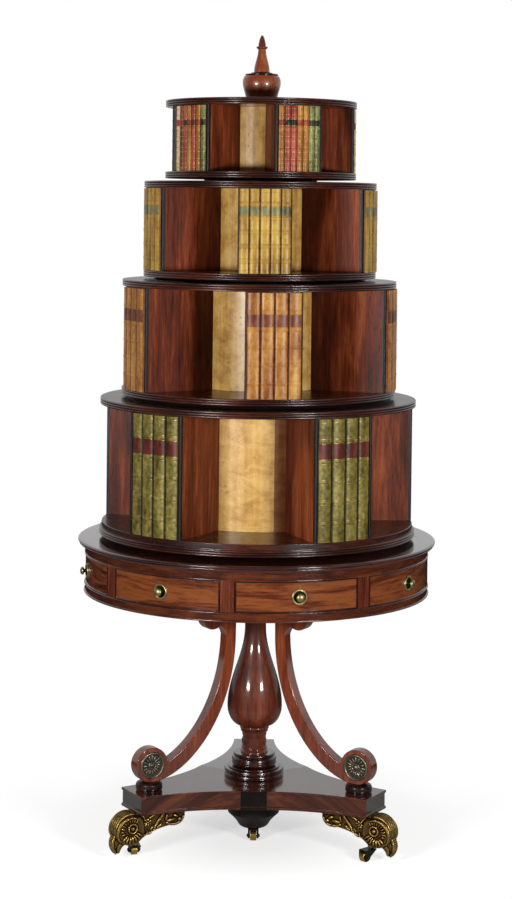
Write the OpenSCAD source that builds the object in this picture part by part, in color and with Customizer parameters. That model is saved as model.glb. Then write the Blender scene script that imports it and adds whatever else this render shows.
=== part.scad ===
// Revolving bookcase. Four round tiers of open book compartments turn, each by
// itself, on one spindle above a round table with drawers. A turned column and
// three scroll legs carry the table on a three-armed platform, which stands on
// brass feet with casters and on one more caster under the middle.
// The origin is on the floor under the spindle, +Z is up and -Y is the front.
// Turns are degrees from straight ahead, positive towards +X. Sizes are in mm.

/* [Table] */
// Height of the table top above the floor
table_h = 735; // [700:1:900]
// Radius of the table top at its nose
table_r = 430; // [400:1:520]
// Thickness of the table top
top_t = 16.5; // [12:0.5:24]
// Height of the rail above the drawers
upper_rail_h = 20.5; // [14:0.5:30]
// Height of the drawer openings
drawer_h = 70; // [55:1:90]
// Height of the rail below the drawers
lower_rail_h = 22; // [16:0.5:32]
// How far the frieze stands back from the nose
frieze_set = 17; // [12:1:30]
// Thickness of the frieze from outside to inside
frieze_t = 20; // [14:1:30]
// Width of a stile between two fronts, in degrees
stile_deg = 4.5; // [3.5:0.5:7]
// Turn of the first drawer
drawer_turn = 13.5; // [0:0.5:45]
// Turn of the first blank front
blank_turn = 58.5; // [45:0.5:90]
// Thickness of the board under the drawers
floor_t = 8; // [6:0.5:14]
// Radius of the block round the spindle inside the table
hub_r = 60; // [40:1:90]
// How far the block that the legs are fixed to reaches past the upper scrolls
block_over = 38; // [28:1:60]
// Thickness of that block
block_t = 29; // [20:1:40]
// Depth that the table top is sunk inside its rim
top_sink = 1; // [0.5:0.5:2]
// How far the sunk part reaches past the lowest tier
sink_over = 6; // [2:1:16]

/* [Drawers] */
// Thickness of the drawer sides and back
drawer_side_t = 10; // [8:1:14]
// Thickness of the drawer bottoms
drawer_bottom_t = 6; // [5:0.5:10]
// How far the drawer sides stand in from the opening
drawer_side_set = 12; // [10:1:16]
// Width of the bead round each front
bead_w = 3; // [2:0.5:5]
// How far the bead stands out
bead_t = 1.5; // [1:0.5:3]
// Radius of the pull's back plate
pull_r = 18; // [14:1:24]
// How far the pull stands out
pull_out = 18; // [14:1:26]

/* [Tiers, from the bottom one up] */
// Radius of the discs
tier_r = [380, 330, 280, 230]; // [180:5:400]
// Clear height for the books
tier_clear = [281, 243, 196, 154.5]; // [120:0.5:340]
// Gap below the tier
tier_gap = [10, 8, 7, 7]; // [6:0.5:16]
// Radius of the drum in the middle
drum_r = [200, 138, 115, 98]; // [80:1:220]
// Turn of the first divider
divider_turn = [32.3, 6.1, 2.3, 23.6]; // [0:0.1:72]
// Angle between the two panels of a divider, in degrees
divider_deg = [22, 21, 23.2, 27]; // [16:0.1:34]
// Number of book backs on a divider
spine_n = [4, 4, 5, 7]; // [3:1:8]
// How far the book backs stand in from the rim
spine_set = [4, -2, -2, 2]; // [-3:0.5:8]
// How far a book back is rounded out
spine_round = [5, 4.5, 3.5, 2.5]; // [1:0.5:8]

/* [Tier boards] */
// Thickness of every disc
board_t = 16; // [12:0.5:24]
// Number of reeds on the edge of a disc
reed_n = 3; // [1:1:4]
// Height of the step on the lowest disc
step_h = 13.5; // [8:0.5:20]
// How far that step stands in from the rim
step_set = 6; // [3:0.5:12]
// Thickness of the divider panels
panel_t = 7.5; // [6:0.5:12]
// How far the panels stand in from the rim
panel_set = 5.5; // [3:0.5:12]
// Depth of a row of book backs
spine_depth = 18; // [14:1:30]
// Width of the groove between two book backs
groove_w = 1.8; // [1:0.1:3]
// Depth of that groove behind the rounded backs
groove_d = 2; // [1:0.5:4]
// Wall of the drums
drum_wall = 14; // [10:1:24]

/* [Spindle and finial] */
// Radius of the spindle
spindle_r = 14; // [10:0.5:18]
// Radius of the bearing discs that the tiers turn on
bearing_r = [230, 200, 170, 136]; // [24:1:230]
// Height of the urn
urn_h = 67; // [50:1:90]
// Largest radius of the urn
urn_r = 46; // [34:1:60]
// Height of the spire on the urn
spire_h = 93; // [70:1:120]
// Radius of the spire at its foot
spire_r = 18; // [14:1:24]

/* [Platform] */
// Height of the platform's underside above the floor
platform_z = 111; // [105:1:130]
// Thickness of the platform
platform_t = 44; // [34:1:56]
// How far the platform's lips stand out
lip = 3; // [1:0.5:5]
// Thickness of the lips
lip_t = 4.5; // [3:0.5:7]
// Distance from the axis to an arm's end
arm_r = 332; // [320:1:380]
// Width of an arm's end
arm_w = 98; // [80:1:120]
// Distance from the axis to the middle of a hollow side
waist_r = 148; // [120:1:170]

/* [Column] */
// Radius of the drum under the column
plinth_r = 72; // [64:1:84]
// Height of that drum
plinth_h = 21; // [14:1:30]
// Radius of the half-round above the drum
torus_r = 54; // [48:1:60]
// Thickness of the half-round
torus_h = 24; // [16:1:30]
// Radius of the ring under the vase
ring_r = 35; // [32:1:44]
// Largest radius of the vase
vase_r = 66; // [50:1:76]
// Height of the vase's widest place above the platform
vase_z = 170; // [160:1:200]
// Radius of the neck above the vase
neck_r = 25.5; // [22:0.5:32]
// Radius of the column's cap
cap_r = 55; // [44:1:58]

/* [Scroll legs] */
// Thickness of a leg from side to side
leg_t = 32; // [24:1:40]
// Width of a leg at the top of its curve
leg_w_top = 26; // [20:1:32]
// Width of a leg at the bottom of its curve
leg_w_low = 36; // [28:1:42]
// Distance from the axis to the upright part of a leg
strap_r = 75.5; // [73:0.5:84]
// Distance from the axis to the upper scroll
high_scroll_x = 124; // [116:1:134]
// Radius of the upper scroll
high_scroll_r = 28; // [22:1:32]
// How far the middle of the lower scroll stands in from the arm's end
low_scroll_set = 47; // [36:1:60]
// Radius of the lower scroll
low_scroll_r = 41; // [32:1:46]
// Height of the buns under the legs
bun_h = 20; // [14:1:26]
// Radius of the buns
bun_r = 31.5; // [26:0.5:36]
// Radius of the brass rosettes
rosette_r = 31; // [20:1:32]
// Thickness of the brass rosettes
rosette_t = 4; // [3:0.5:6]

/* [Feet and casters] */
// Width of a foot's neck
foot_neck_w = 36; // [28:1:42]
// Width of a foot's scrolled head
foot_head_w = 48; // [40:1:56]
// Radius of the scrolled head
foot_head_r = 39; // [34:0.5:40]
// Radius of the boss under the platform's middle
boss_r = 66; // [54:1:80]
// How far a foot's head reaches past the arm's end, to the head's middle
foot_head_out = 11; // [6:1:16]
// How far a foot reaches back under the arm
foot_back = 135; // [110:1:150]
// How far a caster's pin stands in from the arm's end
caster_set = 12; // [8:1:20]
// Radius of the wheels
wheel_r = 12; // [10:0.5:13]
// Width of the wheels
wheel_w = 15; // [10:1:18]
// Distance from a caster's pin to its axle
trail = 21; // [19:1:24]
// Thickness of the fork's cheeks
cheek_t = 5; // [3:0.5:6]
// Radius of the swivel pins
pin_r = 4.5; // [3:0.5:5]
// Radius of the axles
axle_r = 2; // [1.5:0.5:3]

/* [Clearances] */
// Gap between pieces that run on each other
run_gap = 0.3; // [0.2:0.1:0.6]
// Gap beside the drawer fronts
side_gap = 0.5; // [0.3:0.1:1]
// Radial clearance of a shaft in its bore
bore_fit = 0.1; // [0.05:0.01:0.1]

/* [Hidden] */
$fn = 128;
cut = 1;
far = 600;

legs = [60, -60, 180];
trails = [-48, 192, 150, 0];
divider_n = 5;
bay_n = 8;
drawer_n = 4;

// Heights of the stack from the floor up
deck_z = platform_z + platform_t;
frieze_z = table_h - top_t - upper_rail_h - drawer_h - lower_rail_h;
block_z = frieze_z - block_t;
opening_z = frieze_z + lower_rail_h;
floor_z = frieze_z + floor_t;
top_z = table_h - top_t;
function base_h(i) = board_t + (i == 0 ? step_h : 0);
function tier_z(i) = i == 0 ? table_h + tier_gap[0] : tier_top(i - 1) + tier_gap[i];
function books_z(i) = tier_z(i) + base_h(i);
function tier_top(i) = books_z(i) + tier_clear[i] + board_t;
crown_z = tier_top(len(tier_r) - 1);
spindle_foot = 20;
spindle_head = 30;

// Places along an arm
low_scroll_x = arm_r - low_scroll_set;
caster_x = arm_r - caster_set;
block_r = high_scroll_x + block_over;

// Frieze and drawers, in plan
frieze_r = table_r - frieze_set;
frieze_in = frieze_r - frieze_t;
opening_half = frieze_r * sin((360 / bay_n - stile_deg) / 2);
box_half = opening_half - drawer_side_set;
corner_gap = 9;
box_back = box_half + corner_gap;
box_lift = 4;
box_z = opening_z + box_lift;
box_h = drawer_h - 3 * box_lift;
guide_w = 9;
guide_gap = 3;
guide_back = opening_half + guide_w + guide_gap;
guide_end = sqrt(frieze_in * frieze_in - opening_half * opening_half) - side_gap;
bottom_bead = 2.5;
nose_round = 2;

// Steps of the plinth above its drum
plinth_fillet_h = 4;
plinth_ring_h = 7;
column_z = plinth_h + plinth_fillet_h + torus_h + plinth_ring_h;

// Casters
plate_t = 3;
plate_z = 2 * wheel_r + 1;
plate_top = plate_z + plate_t;
plate_r = 12;
pin_h = 32;
pin_end_gap = 0.3;
fork_half = wheel_w / 2 + side_gap + cheek_t;
cheek_r = 7;
axle_head = 3;
axle_head_r = 4;
stem_r = 8;
stem_z = plate_top + 3;

// The angle about +Z of a turn from straight ahead
function facing(turn) = turn - 90;
function lerp(a, b, t) = a + (b - a) * t;
function bezier(p, t) =
    pow(1 - t, 3) * p[0] + 3 * pow(1 - t, 2) * t * p[1] + 3 * (1 - t) * t * t * p[2] + pow(t, 3) * p[3];
function bezier_slope(p, t) =
    pow(1 - t, 2) * (p[1] - p[0]) + 2 * (1 - t) * t * (p[2] - p[1]) + t * t * (p[3] - p[2]);
function to_left(v) = [-v.y, v.x] / norm(v);
// Points of an arc of an ellipse with the half axes size
function arc(centre, size, from, to, steps = 10) =
    [for (k = [0 : steps]) let (a = lerp(from, to, k / steps))
        centre + [size.x * cos(a), size.y * sin(a)]];
// Points of a soft S from p to q, upright at both ends
function ease(p, q, steps = 16) =
    [for (k = [0 : steps]) [lerp(p.x, q.x, (1 - cos(180 * k / steps)) / 2), lerp(p.y, q.y, k / steps)]];

module at_turn(turn) {
    rotate([0, 0, facing(turn)]) children();
}

// A flat shape drawn in radius and height, as thick as t, upright at a turn
module upright(turn, t) {
    at_turn(turn) rotate([90, 0, 0]) linear_extrude(height = t, center = true) children();
}

module wedge(deg, r) {
    polygon([[0, 0], r * [cos(deg / 2), -sin(deg / 2)], r * [cos(deg / 2), sin(deg / 2)]]);
}

module ring(outer, inner, h) {
    linear_extrude(height = h) difference() {
        circle(r = outer);
        circle(r = inner);
    }
}

// A disc with a reeded edge and a bore
module reeded_disc(r, t, reeds, bore = 0) {
    reed_r = t / reeds / 2;
    rotate_extrude() {
        translate([bore, 0]) square([r - reed_r - bore, t]);
        for (k = [0 : reeds - 1])
            translate([r - reed_r, reed_r * (2 * k + 1)]) circle(r = reed_r, $fn = 48);
    }
}

// Platform

module platform_plan(grow) {
    along = arm_r * cos(60) + arm_w / 2 * sin(60);
    across = arm_r * sin(60) - arm_w / 2 * cos(60);
    sag = along - waist_r;
    hollow_r = (across * across + sag * sag) / (2 * sag);
    corner_over = 12;
    difference() {
        polygon([for (turn = [0, 120, 240], s = [-1, 1])
            let (x = arm_r + grow, y = s * (arm_w / 2 + corner_over), a = facing(turn + legs[0]))
            [x * cos(a) - y * sin(a), x * sin(a) + y * cos(a)]]);
        for (turn = legs)
            at_turn(turn + 180) translate([waist_r + hollow_r, 0]) circle(r = hollow_r - grow, $fn = 256);
    }
}

module platform() {
    color("#5a2d20") {
        translate([0, 0, platform_z]) linear_extrude(height = lip_t) platform_plan(lip);
        translate([0, 0, platform_z + lip_t]) linear_extrude(height = platform_t - 2 * lip_t) platform_plan(0);
        translate([0, 0, deck_z - lip_t]) linear_extrude(height = lip_t) platform_plan(lip);
    }
}

module pendant_boss() {
    z0 = plate_top + run_gap;
    foot_r = 27;
    waist = [44, 48];
    edge_z = 62;
    color("#3a1d16") difference() {
        rotate_extrude() polygon(concat(
            [[0, z0], [foot_r, z0]],
            ease([foot_r + 2, z0 + 2], waist, 6),
            ease(waist + [3, 2], [boss_r, edge_z], 6),
            [[boss_r, platform_z], [0, platform_z]]));
        translate([0, 0, z0 - cut]) cylinder(r = pin_r + bore_fit, h = pin_h + pin_end_gap + cut - run_gap);
    }
}

// Column

module plinth() {
    fillet_r = 62;
    top_r = 50;
    color("#4a241b") translate([0, 0, deck_z]) {
        cylinder(r = plinth_r, h = plinth_h);
        translate([0, 0, plinth_h]) cylinder(r = fillet_r, h = plinth_fillet_h);
        translate([0, 0, plinth_h + plinth_fillet_h]) reeded_disc(torus_r, torus_h, 1);
        translate([0, 0, column_z - plinth_ring_h]) cylinder(r = top_r, h = plinth_ring_h);
    }
}

// Heights in the outline are from the platform's top
module column() {
    ring_z = column_z + 56;
    ring_h = 10;
    flare_r = 32;
    waist = [27.5, column_z + 29];
    top = block_z - deck_z;
    neck_z = top - 61;
    cap_z = top - 32;
    color("#6b3324") translate([0, 0, deck_z]) rotate_extrude() polygon(concat(
        [[0, column_z], [flare_r, column_z]],
        ease([flare_r, column_z + 3], waist, 6),
        ease(waist, [ring_r - 4, ring_z], 6),
        arc([ring_r - ring_h / 2, ring_z + ring_h / 2], [ring_h / 2, ring_h / 2], -90, 90, 8),
        [[ring_r - 2, ring_z + ring_h]],
        arc([ring_r - 2, vase_z], [vase_r - ring_r + 2, vase_z - ring_z - ring_h], -75, 0, 10),
        ease([vase_r, vase_z], [neck_r, neck_z], 24),
        [[neck_r, cap_z - 6]],
        arc([neck_r + 2, cap_z - 3], [5, 3], -90, 90, 6),
        ease([neck_r + 4, cap_z + 2], [cap_r, top - 6], 8),
        [[cap_r, top], [0, top]]));
}

// Scroll legs, drawn in radius and height

low_scroll = [low_scroll_x, deck_z + bun_h + low_scroll_r];
high_scroll = [high_scroll_x, block_z - high_scroll_r];
strap_top = block_z - 47;
leg_curve = [
    [strap_r, strap_top - 10],
    [strap_r, strap_top - 205],
    [low_scroll_x - 85, deck_z + bun_h + leg_w_low / 2],
    [low_scroll_x, deck_z + bun_h + leg_w_low / 2]
];

// The leg's edge at a place on its curve, on the left or the right of it
function leg_edge(t, side) =
    bezier(leg_curve, t) + side * lerp(leg_w_top, leg_w_low, t) / 2 * to_left(bezier_slope(leg_curve, t));

module leg_stem() {
    steps = 28;
    polygon(concat(
        [for (k = [0 : steps]) leg_edge(k / steps, 1)],
        [for (k = [steps : -1 : 0]) leg_edge(k / steps, -1)]));
}

module leg_strap() {
    translate([strap_r - leg_w_top / 2, leg_curve[0].y]) square([leg_w_top, strap_top - leg_curve[0].y + cut]);
}

// The rounded top of a leg, between its strap and its upper scroll
module leg_head() {
    inner_half = leg_w_top / 2 + 1.5;
    polygon(concat(
        [[high_scroll_x, strap_top]],
        arc([high_scroll_x, strap_top],
            [high_scroll_x - strap_r + inner_half, block_z - strap_top], 180, 90, 14)));
}

// The flat on top of a leg that meets the block
module leg_pad() {
    pad_w = 40;
    pad_h = 6;
    translate([high_scroll_x - pad_w / 2, block_z - pad_h]) square([pad_w, pad_h]);
}

module scroll_leg(k) {
    turn = legs[k - 1];
    color("#5c2b1e") {
        upright(turn, leg_t) leg_stem();
        upright(turn, leg_t) leg_strap();
        upright(turn, leg_t) leg_head();
        upright(turn, leg_t) leg_pad();
        upright(turn, leg_t) translate(high_scroll) circle(r = high_scroll_r);
        upright(turn, leg_t) translate(low_scroll) circle(r = low_scroll_r);
    }
}

module leg_buns() {
    color("#3f2018")
        for (turn = legs)
            at_turn(turn) translate([low_scroll_x, 0, deck_z]) reeded_disc(bun_r, bun_h, 1);
}

module leg_rosettes() {
    button_r = 9;
    color("#b08a3e")
        for (turn = legs, side = [0, 1])
            at_turn(turn) translate([low_scroll.x, 0, low_scroll.y])
                mirror([0, side, 0]) rotate([-90, 0, 0]) translate([0, 0, leg_t / 2])
                    rotate_extrude() polygon(concat(
                        [[0, 0], [rosette_r, 0]],
                        arc([rosette_r - rosette_t, 0], [rosette_t, rosette_t], 20, 110, 6),
                        [[button_r + 4, rosette_t / 2], [button_r, rosette_t / 2]],
                        arc([0, rosette_t / 2], [button_r, rosette_t / 2], 10, 90, 6)));
}

// Brass feet, drawn in radius and height

foot_drop = 0.5;
foot_in = arm_r - foot_back;
foot_head = [arm_r + foot_head_out, platform_z - foot_drop - foot_head_r];
foot_chin = [foot_head.x - 21, stem_z];
foot_sole = [
    [foot_in, platform_z - 31],
    [foot_in + 8, platform_z - 61],
    [foot_in + 83, platform_z - 36],
    foot_chin
];

module foot_neck() {
    steps = 16;
    polygon(concat(
        [[foot_in, platform_z], [arm_r + lip, platform_z], foot_head],
        [for (k = [steps : -1 : 0]) bezier(foot_sole, k / steps)]));
}

module foot_toe() {
    tip = [foot_head.x + 27, 20];
    brow = foot_head + [foot_head_r - 3, -8];
    steps = 8;
    polygon(concat(
        [foot_head],
        [for (k = [0 : steps]) bezier([brow, brow + [4, -14], tip + [6, 14], tip], k / steps)],
        [for (k = [1 : steps])
            bezier([tip, tip + [-8, 7], tip + [-14, 10], foot_head + [2, -36]], k / steps)]));
}

module brass_foot(k) {
    turn = legs[k - 1];
    scroll = foot_head + [3, -8.5];
    scroll_r = 30;
    scroll_t = 3;
    scroll_rim = 6;
    toe_w = 26;
    color("#a07c34") difference() {
        union() {
            upright(turn, foot_neck_w) foot_neck();
            upright(turn, foot_head_w) translate(foot_head) circle(r = foot_head_r);
            upright(turn, toe_w) foot_toe();
            upright(turn, foot_head_w + 2 * scroll_t) translate(scroll) difference() {
                circle(r = scroll_r);
                circle(r = scroll_r - scroll_rim);
            }
            upright(turn, foot_head_w + 2 * scroll_t) translate(scroll) circle(r = scroll_rim);
            at_turn(turn) translate([caster_x, 0, stem_z]) cylinder(r = stem_r, h = foot_head_r / 2);
        }
        at_turn(turn) translate([caster_x, 0, stem_z - cut])
            cylinder(r = pin_r + bore_fit, h = pin_h + pin_end_gap + plate_top - stem_z + cut);
    }
}

// Table

module top_block() {
    color("#4a241b") translate([0, 0, block_z]) difference() {
        reeded_disc(block_r, block_t, 1);
        translate([0, 0, block_t - spindle_foot]) cylinder(r = spindle_r, h = spindle_foot + cut);
    }
}

module table_floor() {
    color("#7a4a30") difference() {
        union() {
            translate([0, 0, frieze_z]) cylinder(r = frieze_in, h = floor_t);
            translate([0, 0, floor_z]) cylinder(r = hub_r, h = top_z - floor_z);
        }
        translate([0, 0, frieze_z - cut]) cylinder(r = spindle_r, h = top_z - frieze_z + 2 * cut);
    }
}

module lower_rail() {
    bead_h = 2 * bottom_bead;
    color("#6e3626") translate([0, 0, frieze_z]) {
        ring(frieze_r, frieze_in, lower_rail_h);
        rotate_extrude() intersection() {
            translate([frieze_r, bottom_bead]) circle(r = bottom_bead, $fn = 48);
            translate([frieze_r, 0]) square([bead_h, bead_h]);
        }
    }
}

module upper_rail() {
    color("#70382a") translate([0, 0, opening_z + drawer_h]) ring(frieze_r, frieze_in, upper_rail_h);
}

module table_top() {
    cove = table_r - frieze_r - 2;
    nose_h = 9;
    color("#43251f") difference() {
        translate([0, 0, top_z]) rotate_extrude() polygon(concat(
            [[spindle_r, 0], [frieze_r + 2, 0]],
            arc([table_r - nose_round, 0], [cove - nose_round, top_t - nose_h], 180, 90, 6),
            arc([table_r - nose_h / 2, top_t - nose_h / 2], [nose_h / 2, nose_h / 2], -90, 60, 8),
            [[table_r - nose_h / 2, top_t], [spindle_r, top_t]]));
        translate([0, 0, table_h - top_sink]) cylinder(r = tier_r[0] + sink_over, h = top_sink + cut);
    }
}

// One front of the frieze, centred on +X, with its bead
module front(half, h) {
    difference() {
        linear_extrude(height = h) intersection() {
            difference() {
                circle(r = frieze_r);
                circle(r = frieze_in);
            }
            translate([0, -half]) square([far, 2 * half]);
        }
        translate([0, 0, bead_w]) linear_extrude(height = h - 2 * bead_w) intersection() {
            difference() {
                circle(r = far);
                circle(r = frieze_r - bead_t);
            }
            translate([0, bead_w - half]) square([far, 2 * (half - bead_w)]);
        }
    }
}

module pull() {
    plate_edge = 4;
    knob_r = 10.5;
    color("#b08a3e") difference() {
        translate([frieze_r - bead_t, 0, opening_z + drawer_h / 2]) rotate([0, 90, 0]) rotate_extrude()
            polygon(concat(
                [[0, -cut], [pull_r, -cut], [pull_r, plate_edge / 2]],
                arc([pull_r - 2, plate_edge / 2], [2, 2], 0, 180, 6),
                [[pull_r - 5, 1.5], [knob_r / 2, 1.5], [knob_r / 2, pull_out / 2]],
                arc([knob_r / 2, pull_out * 0.75], [knob_r / 2, pull_out / 4], -60, 90, 8),
                [[0, pull_out]]));
        cylinder(r = frieze_r - bead_t, h = table_h, $fn = 720);
    }
}

module blank_fronts() {
    color("#7c402b")
        for (k = [0 : drawer_n - 1])
            at_turn(blank_turn + 90 * k) translate([0, 0, opening_z]) front(opening_half, drawer_h);
}

module blank_pulls() {
    for (k = [0 : drawer_n - 1]) at_turn(blank_turn + 90 * k) pull();
}

// The stiles between the fronts, and a ledge and a guide at each side of a drawer
module drawer_frame() {
    color("#6e3626") {
        translate([0, 0, opening_z]) linear_extrude(height = drawer_h) difference() {
            circle(r = frieze_r);
            circle(r = frieze_in);
            for (k = [0 : drawer_n - 1], turn = [drawer_turn, blank_turn])
                at_turn(turn + 90 * k) translate([0, -opening_half]) square([far, 2 * opening_half]);
        }
        for (k = [0 : drawer_n - 1], side = [0, 1])
            at_turn(drawer_turn + 90 * k) mirror([0, side, 0]) translate([0, 0, floor_z]) {
                linear_extrude(height = box_z + box_h - floor_z) intersection() {
                    circle(r = frieze_in);
                    translate([guide_back, box_half + run_gap])
                        square([guide_end - guide_back, opening_half + guide_w - box_half - run_gap]);
                }
                translate([guide_back, box_half - drawer_side_t, 0])
                    cube([guide_end - guide_back, drawer_side_t + run_gap, box_z - run_gap - floor_z]);
            }
    }
}

// A drawer, centred on +X and closed
module drawer(k) {
    inner_half = box_half - drawer_side_t;
    color("#8a4a30") at_turn(drawer_turn + 90 * (k - 1)) {
        translate([0, 0, opening_z + run_gap]) front(opening_half - side_gap, drawer_h - 2 * run_gap);
        translate([0, 0, box_z]) difference() {
            linear_extrude(height = box_h) intersection() {
                circle(r = frieze_in + cut);
                translate([box_back, -box_half]) square([far, 2 * box_half]);
            }
            translate([0, 0, drawer_bottom_t]) linear_extrude(height = box_h) intersection() {
                circle(r = frieze_in);
                translate([box_back + drawer_side_t, -inner_half]) square([far, 2 * inner_half]);
            }
        }
    }
}

module drawer_pull(k) {
    at_turn(drawer_turn + 90 * (k - 1)) pull();
}

// Spindle and tiers

module spindle() {
    color("#55504a") translate([0, 0, frieze_z - spindle_foot])
        cylinder(r = spindle_r, h = crown_z + spindle_head - frieze_z + spindle_foot);
}

// Each disc is fixed on the spindle and carries the tier above it
module bearing_discs() {
    color("#2a1611")
        for (i = [0 : len(tier_r) - 1])
            let (z0 = tier_z(i) - tier_gap[i] + (i == 0 ? -top_sink : run_gap))
            translate([0, 0, z0]) ring(bearing_r[i], spindle_r, tier_z(i) - run_gap - z0);
}

module tier_base(i) {
    color("#3d221d") translate([0, 0, tier_z(i)]) {
        reeded_disc(tier_r[i], board_t, reed_n, spindle_r + bore_fit);
        if (i == 0)
            translate([0, 0, board_t]) ring(tier_r[i] - step_set, spindle_r + bore_fit, step_h);
    }
}

module tier_cap(i) {
    color("#43261f") translate([0, 0, tier_top(i) - board_t])
        reeded_disc(tier_r[i], board_t, reed_n, spindle_r + bore_fit);
}

module tier_drum(i) {
    color("#cfa868") translate([0, 0, books_z(i)]) ring(drum_r[i], drum_r[i] - drum_wall, tier_clear[i]);
}

// Runs its children once for each divider, with the divider's middle on +X
module each_divider(i) {
    for (k = [0 : divider_n - 1]) at_turn(divider_turn[i] + 360 / divider_n * k) children();
}

// Two panels for each divider, with their inner faces on radii
module tier_panels(i) {
    color("#5e2f21") translate([0, 0, books_z(i)]) difference() {
        each_divider(i)
            for (side = [0, 1])
                mirror([0, side, 0]) rotate([0, 0, divider_deg[i] / 2])
                    cube([tier_r[i] - panel_set, panel_t, tier_clear[i]]);
        translate([0, 0, -cut]) cylinder(r = drum_r[i], h = tier_clear[i] + 2 * cut);
    }
}

module spine_row(i) {
    face_r = tier_r[i] - spine_set[i];
    back_r = face_r - spine_depth;
    step = divider_deg[i] / spine_n[i];
    half_w = face_r * sin(step / 2);
    round_r = (half_w * half_w + spine_round[i] * spine_round[i]) / (2 * spine_round[i]);
    groove_deg = groove_w / face_r * 180 / PI;
    intersection() {
        wedge(divider_deg[i], far);
        difference() {
            union() {
                circle(r = face_r - spine_round[i] - groove_d);
                for (k = [0 : spine_n[i] - 1])
                    rotate([0, 0, (k + 0.5) * step - divider_deg[i] / 2]) intersection() {
                        wedge(step - groove_deg, far);
                        translate([face_r - round_r, 0]) circle(r = round_r);
                    }
            }
            circle(r = back_r);
        }
    }
}

module tier_spines(i) {
    color(["#787056", "#a2602e", "#bd9650", "#8c5a34"][i]) translate([0, 0, books_z(i)])
        each_divider(i) linear_extrude(height = tier_clear[i]) spine_row(i);
}

// Finial, with heights from the top of the highest tier

module finial_urn() {
    foot_r = 40;
    lip_r = 38;
    wide_z = 48;
    color("#c08a52") translate([0, 0, crown_z]) difference() {
        rotate_extrude() polygon(concat(
            [[0, run_gap], [foot_r, run_gap]],
            ease([foot_r, 4], [urn_r, wide_z], 8),
            arc([lip_r, wide_z], [urn_r - lip_r, urn_h - wide_z], 0, 90, 8),
            [[0, urn_h]]));
        cylinder(r = spindle_r, h = spindle_head);
    }
}

module finial_spire() {
    neck = [9.3, spire_h - 34];
    knop_r = 14;
    knop_h = 8;
    foot_h = 6;
    color("#7a3f28") translate([0, 0, crown_z + urn_h]) rotate_extrude() polygon(concat(
        [[0, 0], [spire_r + 8, 0], [spire_r + 6, foot_h / 2]],
        ease([spire_r, foot_h], neck, 12),
        arc([neck.x, neck.y + knop_h / 2], [knop_r - neck.x, knop_h / 2], -80, 80, 8),
        [[neck.x - 1, neck.y + knop_h], [0, spire_h]]));
}

// Casters

// Puts its children, drawn with the pin on the axis and the wheel towards +X, at a foot
module at_caster(k) {
    spot = k <= len(legs) ? caster_x : 0;
    at = facing(k <= len(legs) ? legs[k - 1] : 0);
    translate([spot * cos(at), spot * sin(at), 0]) at_turn(trails[k - 1]) children();
}

module cheek_outline() {
    translate([trail, wheel_r]) circle(r = cheek_r);
    polygon([[-plate_r / 2, plate_z], [trail - cheek_r, wheel_r], [trail + cheek_r, wheel_r],
        [trail + cheek_r, plate_z]]);
}

module caster_fork(k) {
    axle_len = 2 * (fork_half + axle_head);
    color("#2b2a28") at_caster(k) {
        translate([0, 0, plate_top]) cylinder(r = pin_r, h = pin_h - run_gap);
        translate([0, 0, plate_z]) linear_extrude(height = plate_t) {
            circle(r = plate_r);
            translate([-plate_r / 2, -fork_half]) square([trail + cheek_r + plate_r / 2, 2 * fork_half]);
        }
        for (side = [0, 1])
            mirror([0, side, 0]) translate([0, fork_half, 0]) rotate([90, 0, 0])
                linear_extrude(height = cheek_t) cheek_outline();
        translate([trail, 0, wheel_r]) rotate([90, 0, 0]) {
            cylinder(r = axle_r, h = axle_len, center = true);
            for (side = [-1, 1])
                translate([0, 0, side * (fork_half + axle_head / 2)])
                    cylinder(r = axle_head_r, h = axle_head, center = true);
        }
    }
}

module caster_wheel(k) {
    round_r = 1.5;
    half = wheel_w / 2;
    color("#b08a3e") at_caster(k) translate([trail, 0, wheel_r]) rotate([90, 0, 0]) rotate_extrude()
        polygon([[axle_r + bore_fit, -half], [wheel_r - round_r, -half], [wheel_r, round_r - half],
            [wheel_r, half - round_r], [wheel_r - round_r, half], [axle_r + bore_fit, half]]);
}

platform();
plinth();
column();
pendant_boss();
scroll_leg(1);  // scroll_leg_1
scroll_leg(2);  // scroll_leg_2
scroll_leg(3);  // scroll_leg_3
leg_buns();
leg_rosettes();
brass_foot(1);  // brass_foot_1
brass_foot(2);  // brass_foot_2
brass_foot(3);  // brass_foot_3
top_block();
table_floor();
lower_rail();
drawer_frame();
upper_rail();
table_top();
blank_fronts();
blank_pulls();
spindle();
bearing_discs();
tier_base(0);  // tier_1_base
tier_cap(0);  // tier_1_cap
tier_drum(0);  // tier_1_drum
tier_panels(0);  // tier_1_panels
tier_spines(0);  // tier_1_spines
tier_base(1);  // tier_2_base
tier_cap(1);  // tier_2_cap
tier_drum(1);  // tier_2_drum
tier_panels(1);  // tier_2_panels
tier_spines(1);  // tier_2_spines
tier_base(2);  // tier_3_base
tier_cap(2);  // tier_3_cap
tier_drum(2);  // tier_3_drum
tier_panels(2);  // tier_3_panels
tier_spines(2);  // tier_3_spines
tier_base(3);  // tier_4_base
tier_cap(3);  // tier_4_cap
tier_drum(3);  // tier_4_drum
tier_panels(3);  // tier_4_panels
tier_spines(3);  // tier_4_spines
finial_urn();
finial_spire();
drawer(1);  // drawer_1
drawer(2);  // drawer_2
drawer(3);  // drawer_3
drawer(4);  // drawer_4
drawer_pull(1);  // drawer_1_pull
drawer_pull(2);  // drawer_2_pull
drawer_pull(3);  // drawer_3_pull
drawer_pull(4);  // drawer_4_pull
caster_fork(1);  // caster_fork_1
caster_fork(2);  // caster_fork_2
caster_fork(3);  // caster_fork_3
caster_fork(4);  // caster_fork_4
caster_wheel(1);  // caster_wheel_1
caster_wheel(2);  // caster_wheel_2
caster_wheel(3);  // caster_wheel_3
caster_wheel(4);  // caster_wheel_4
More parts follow.
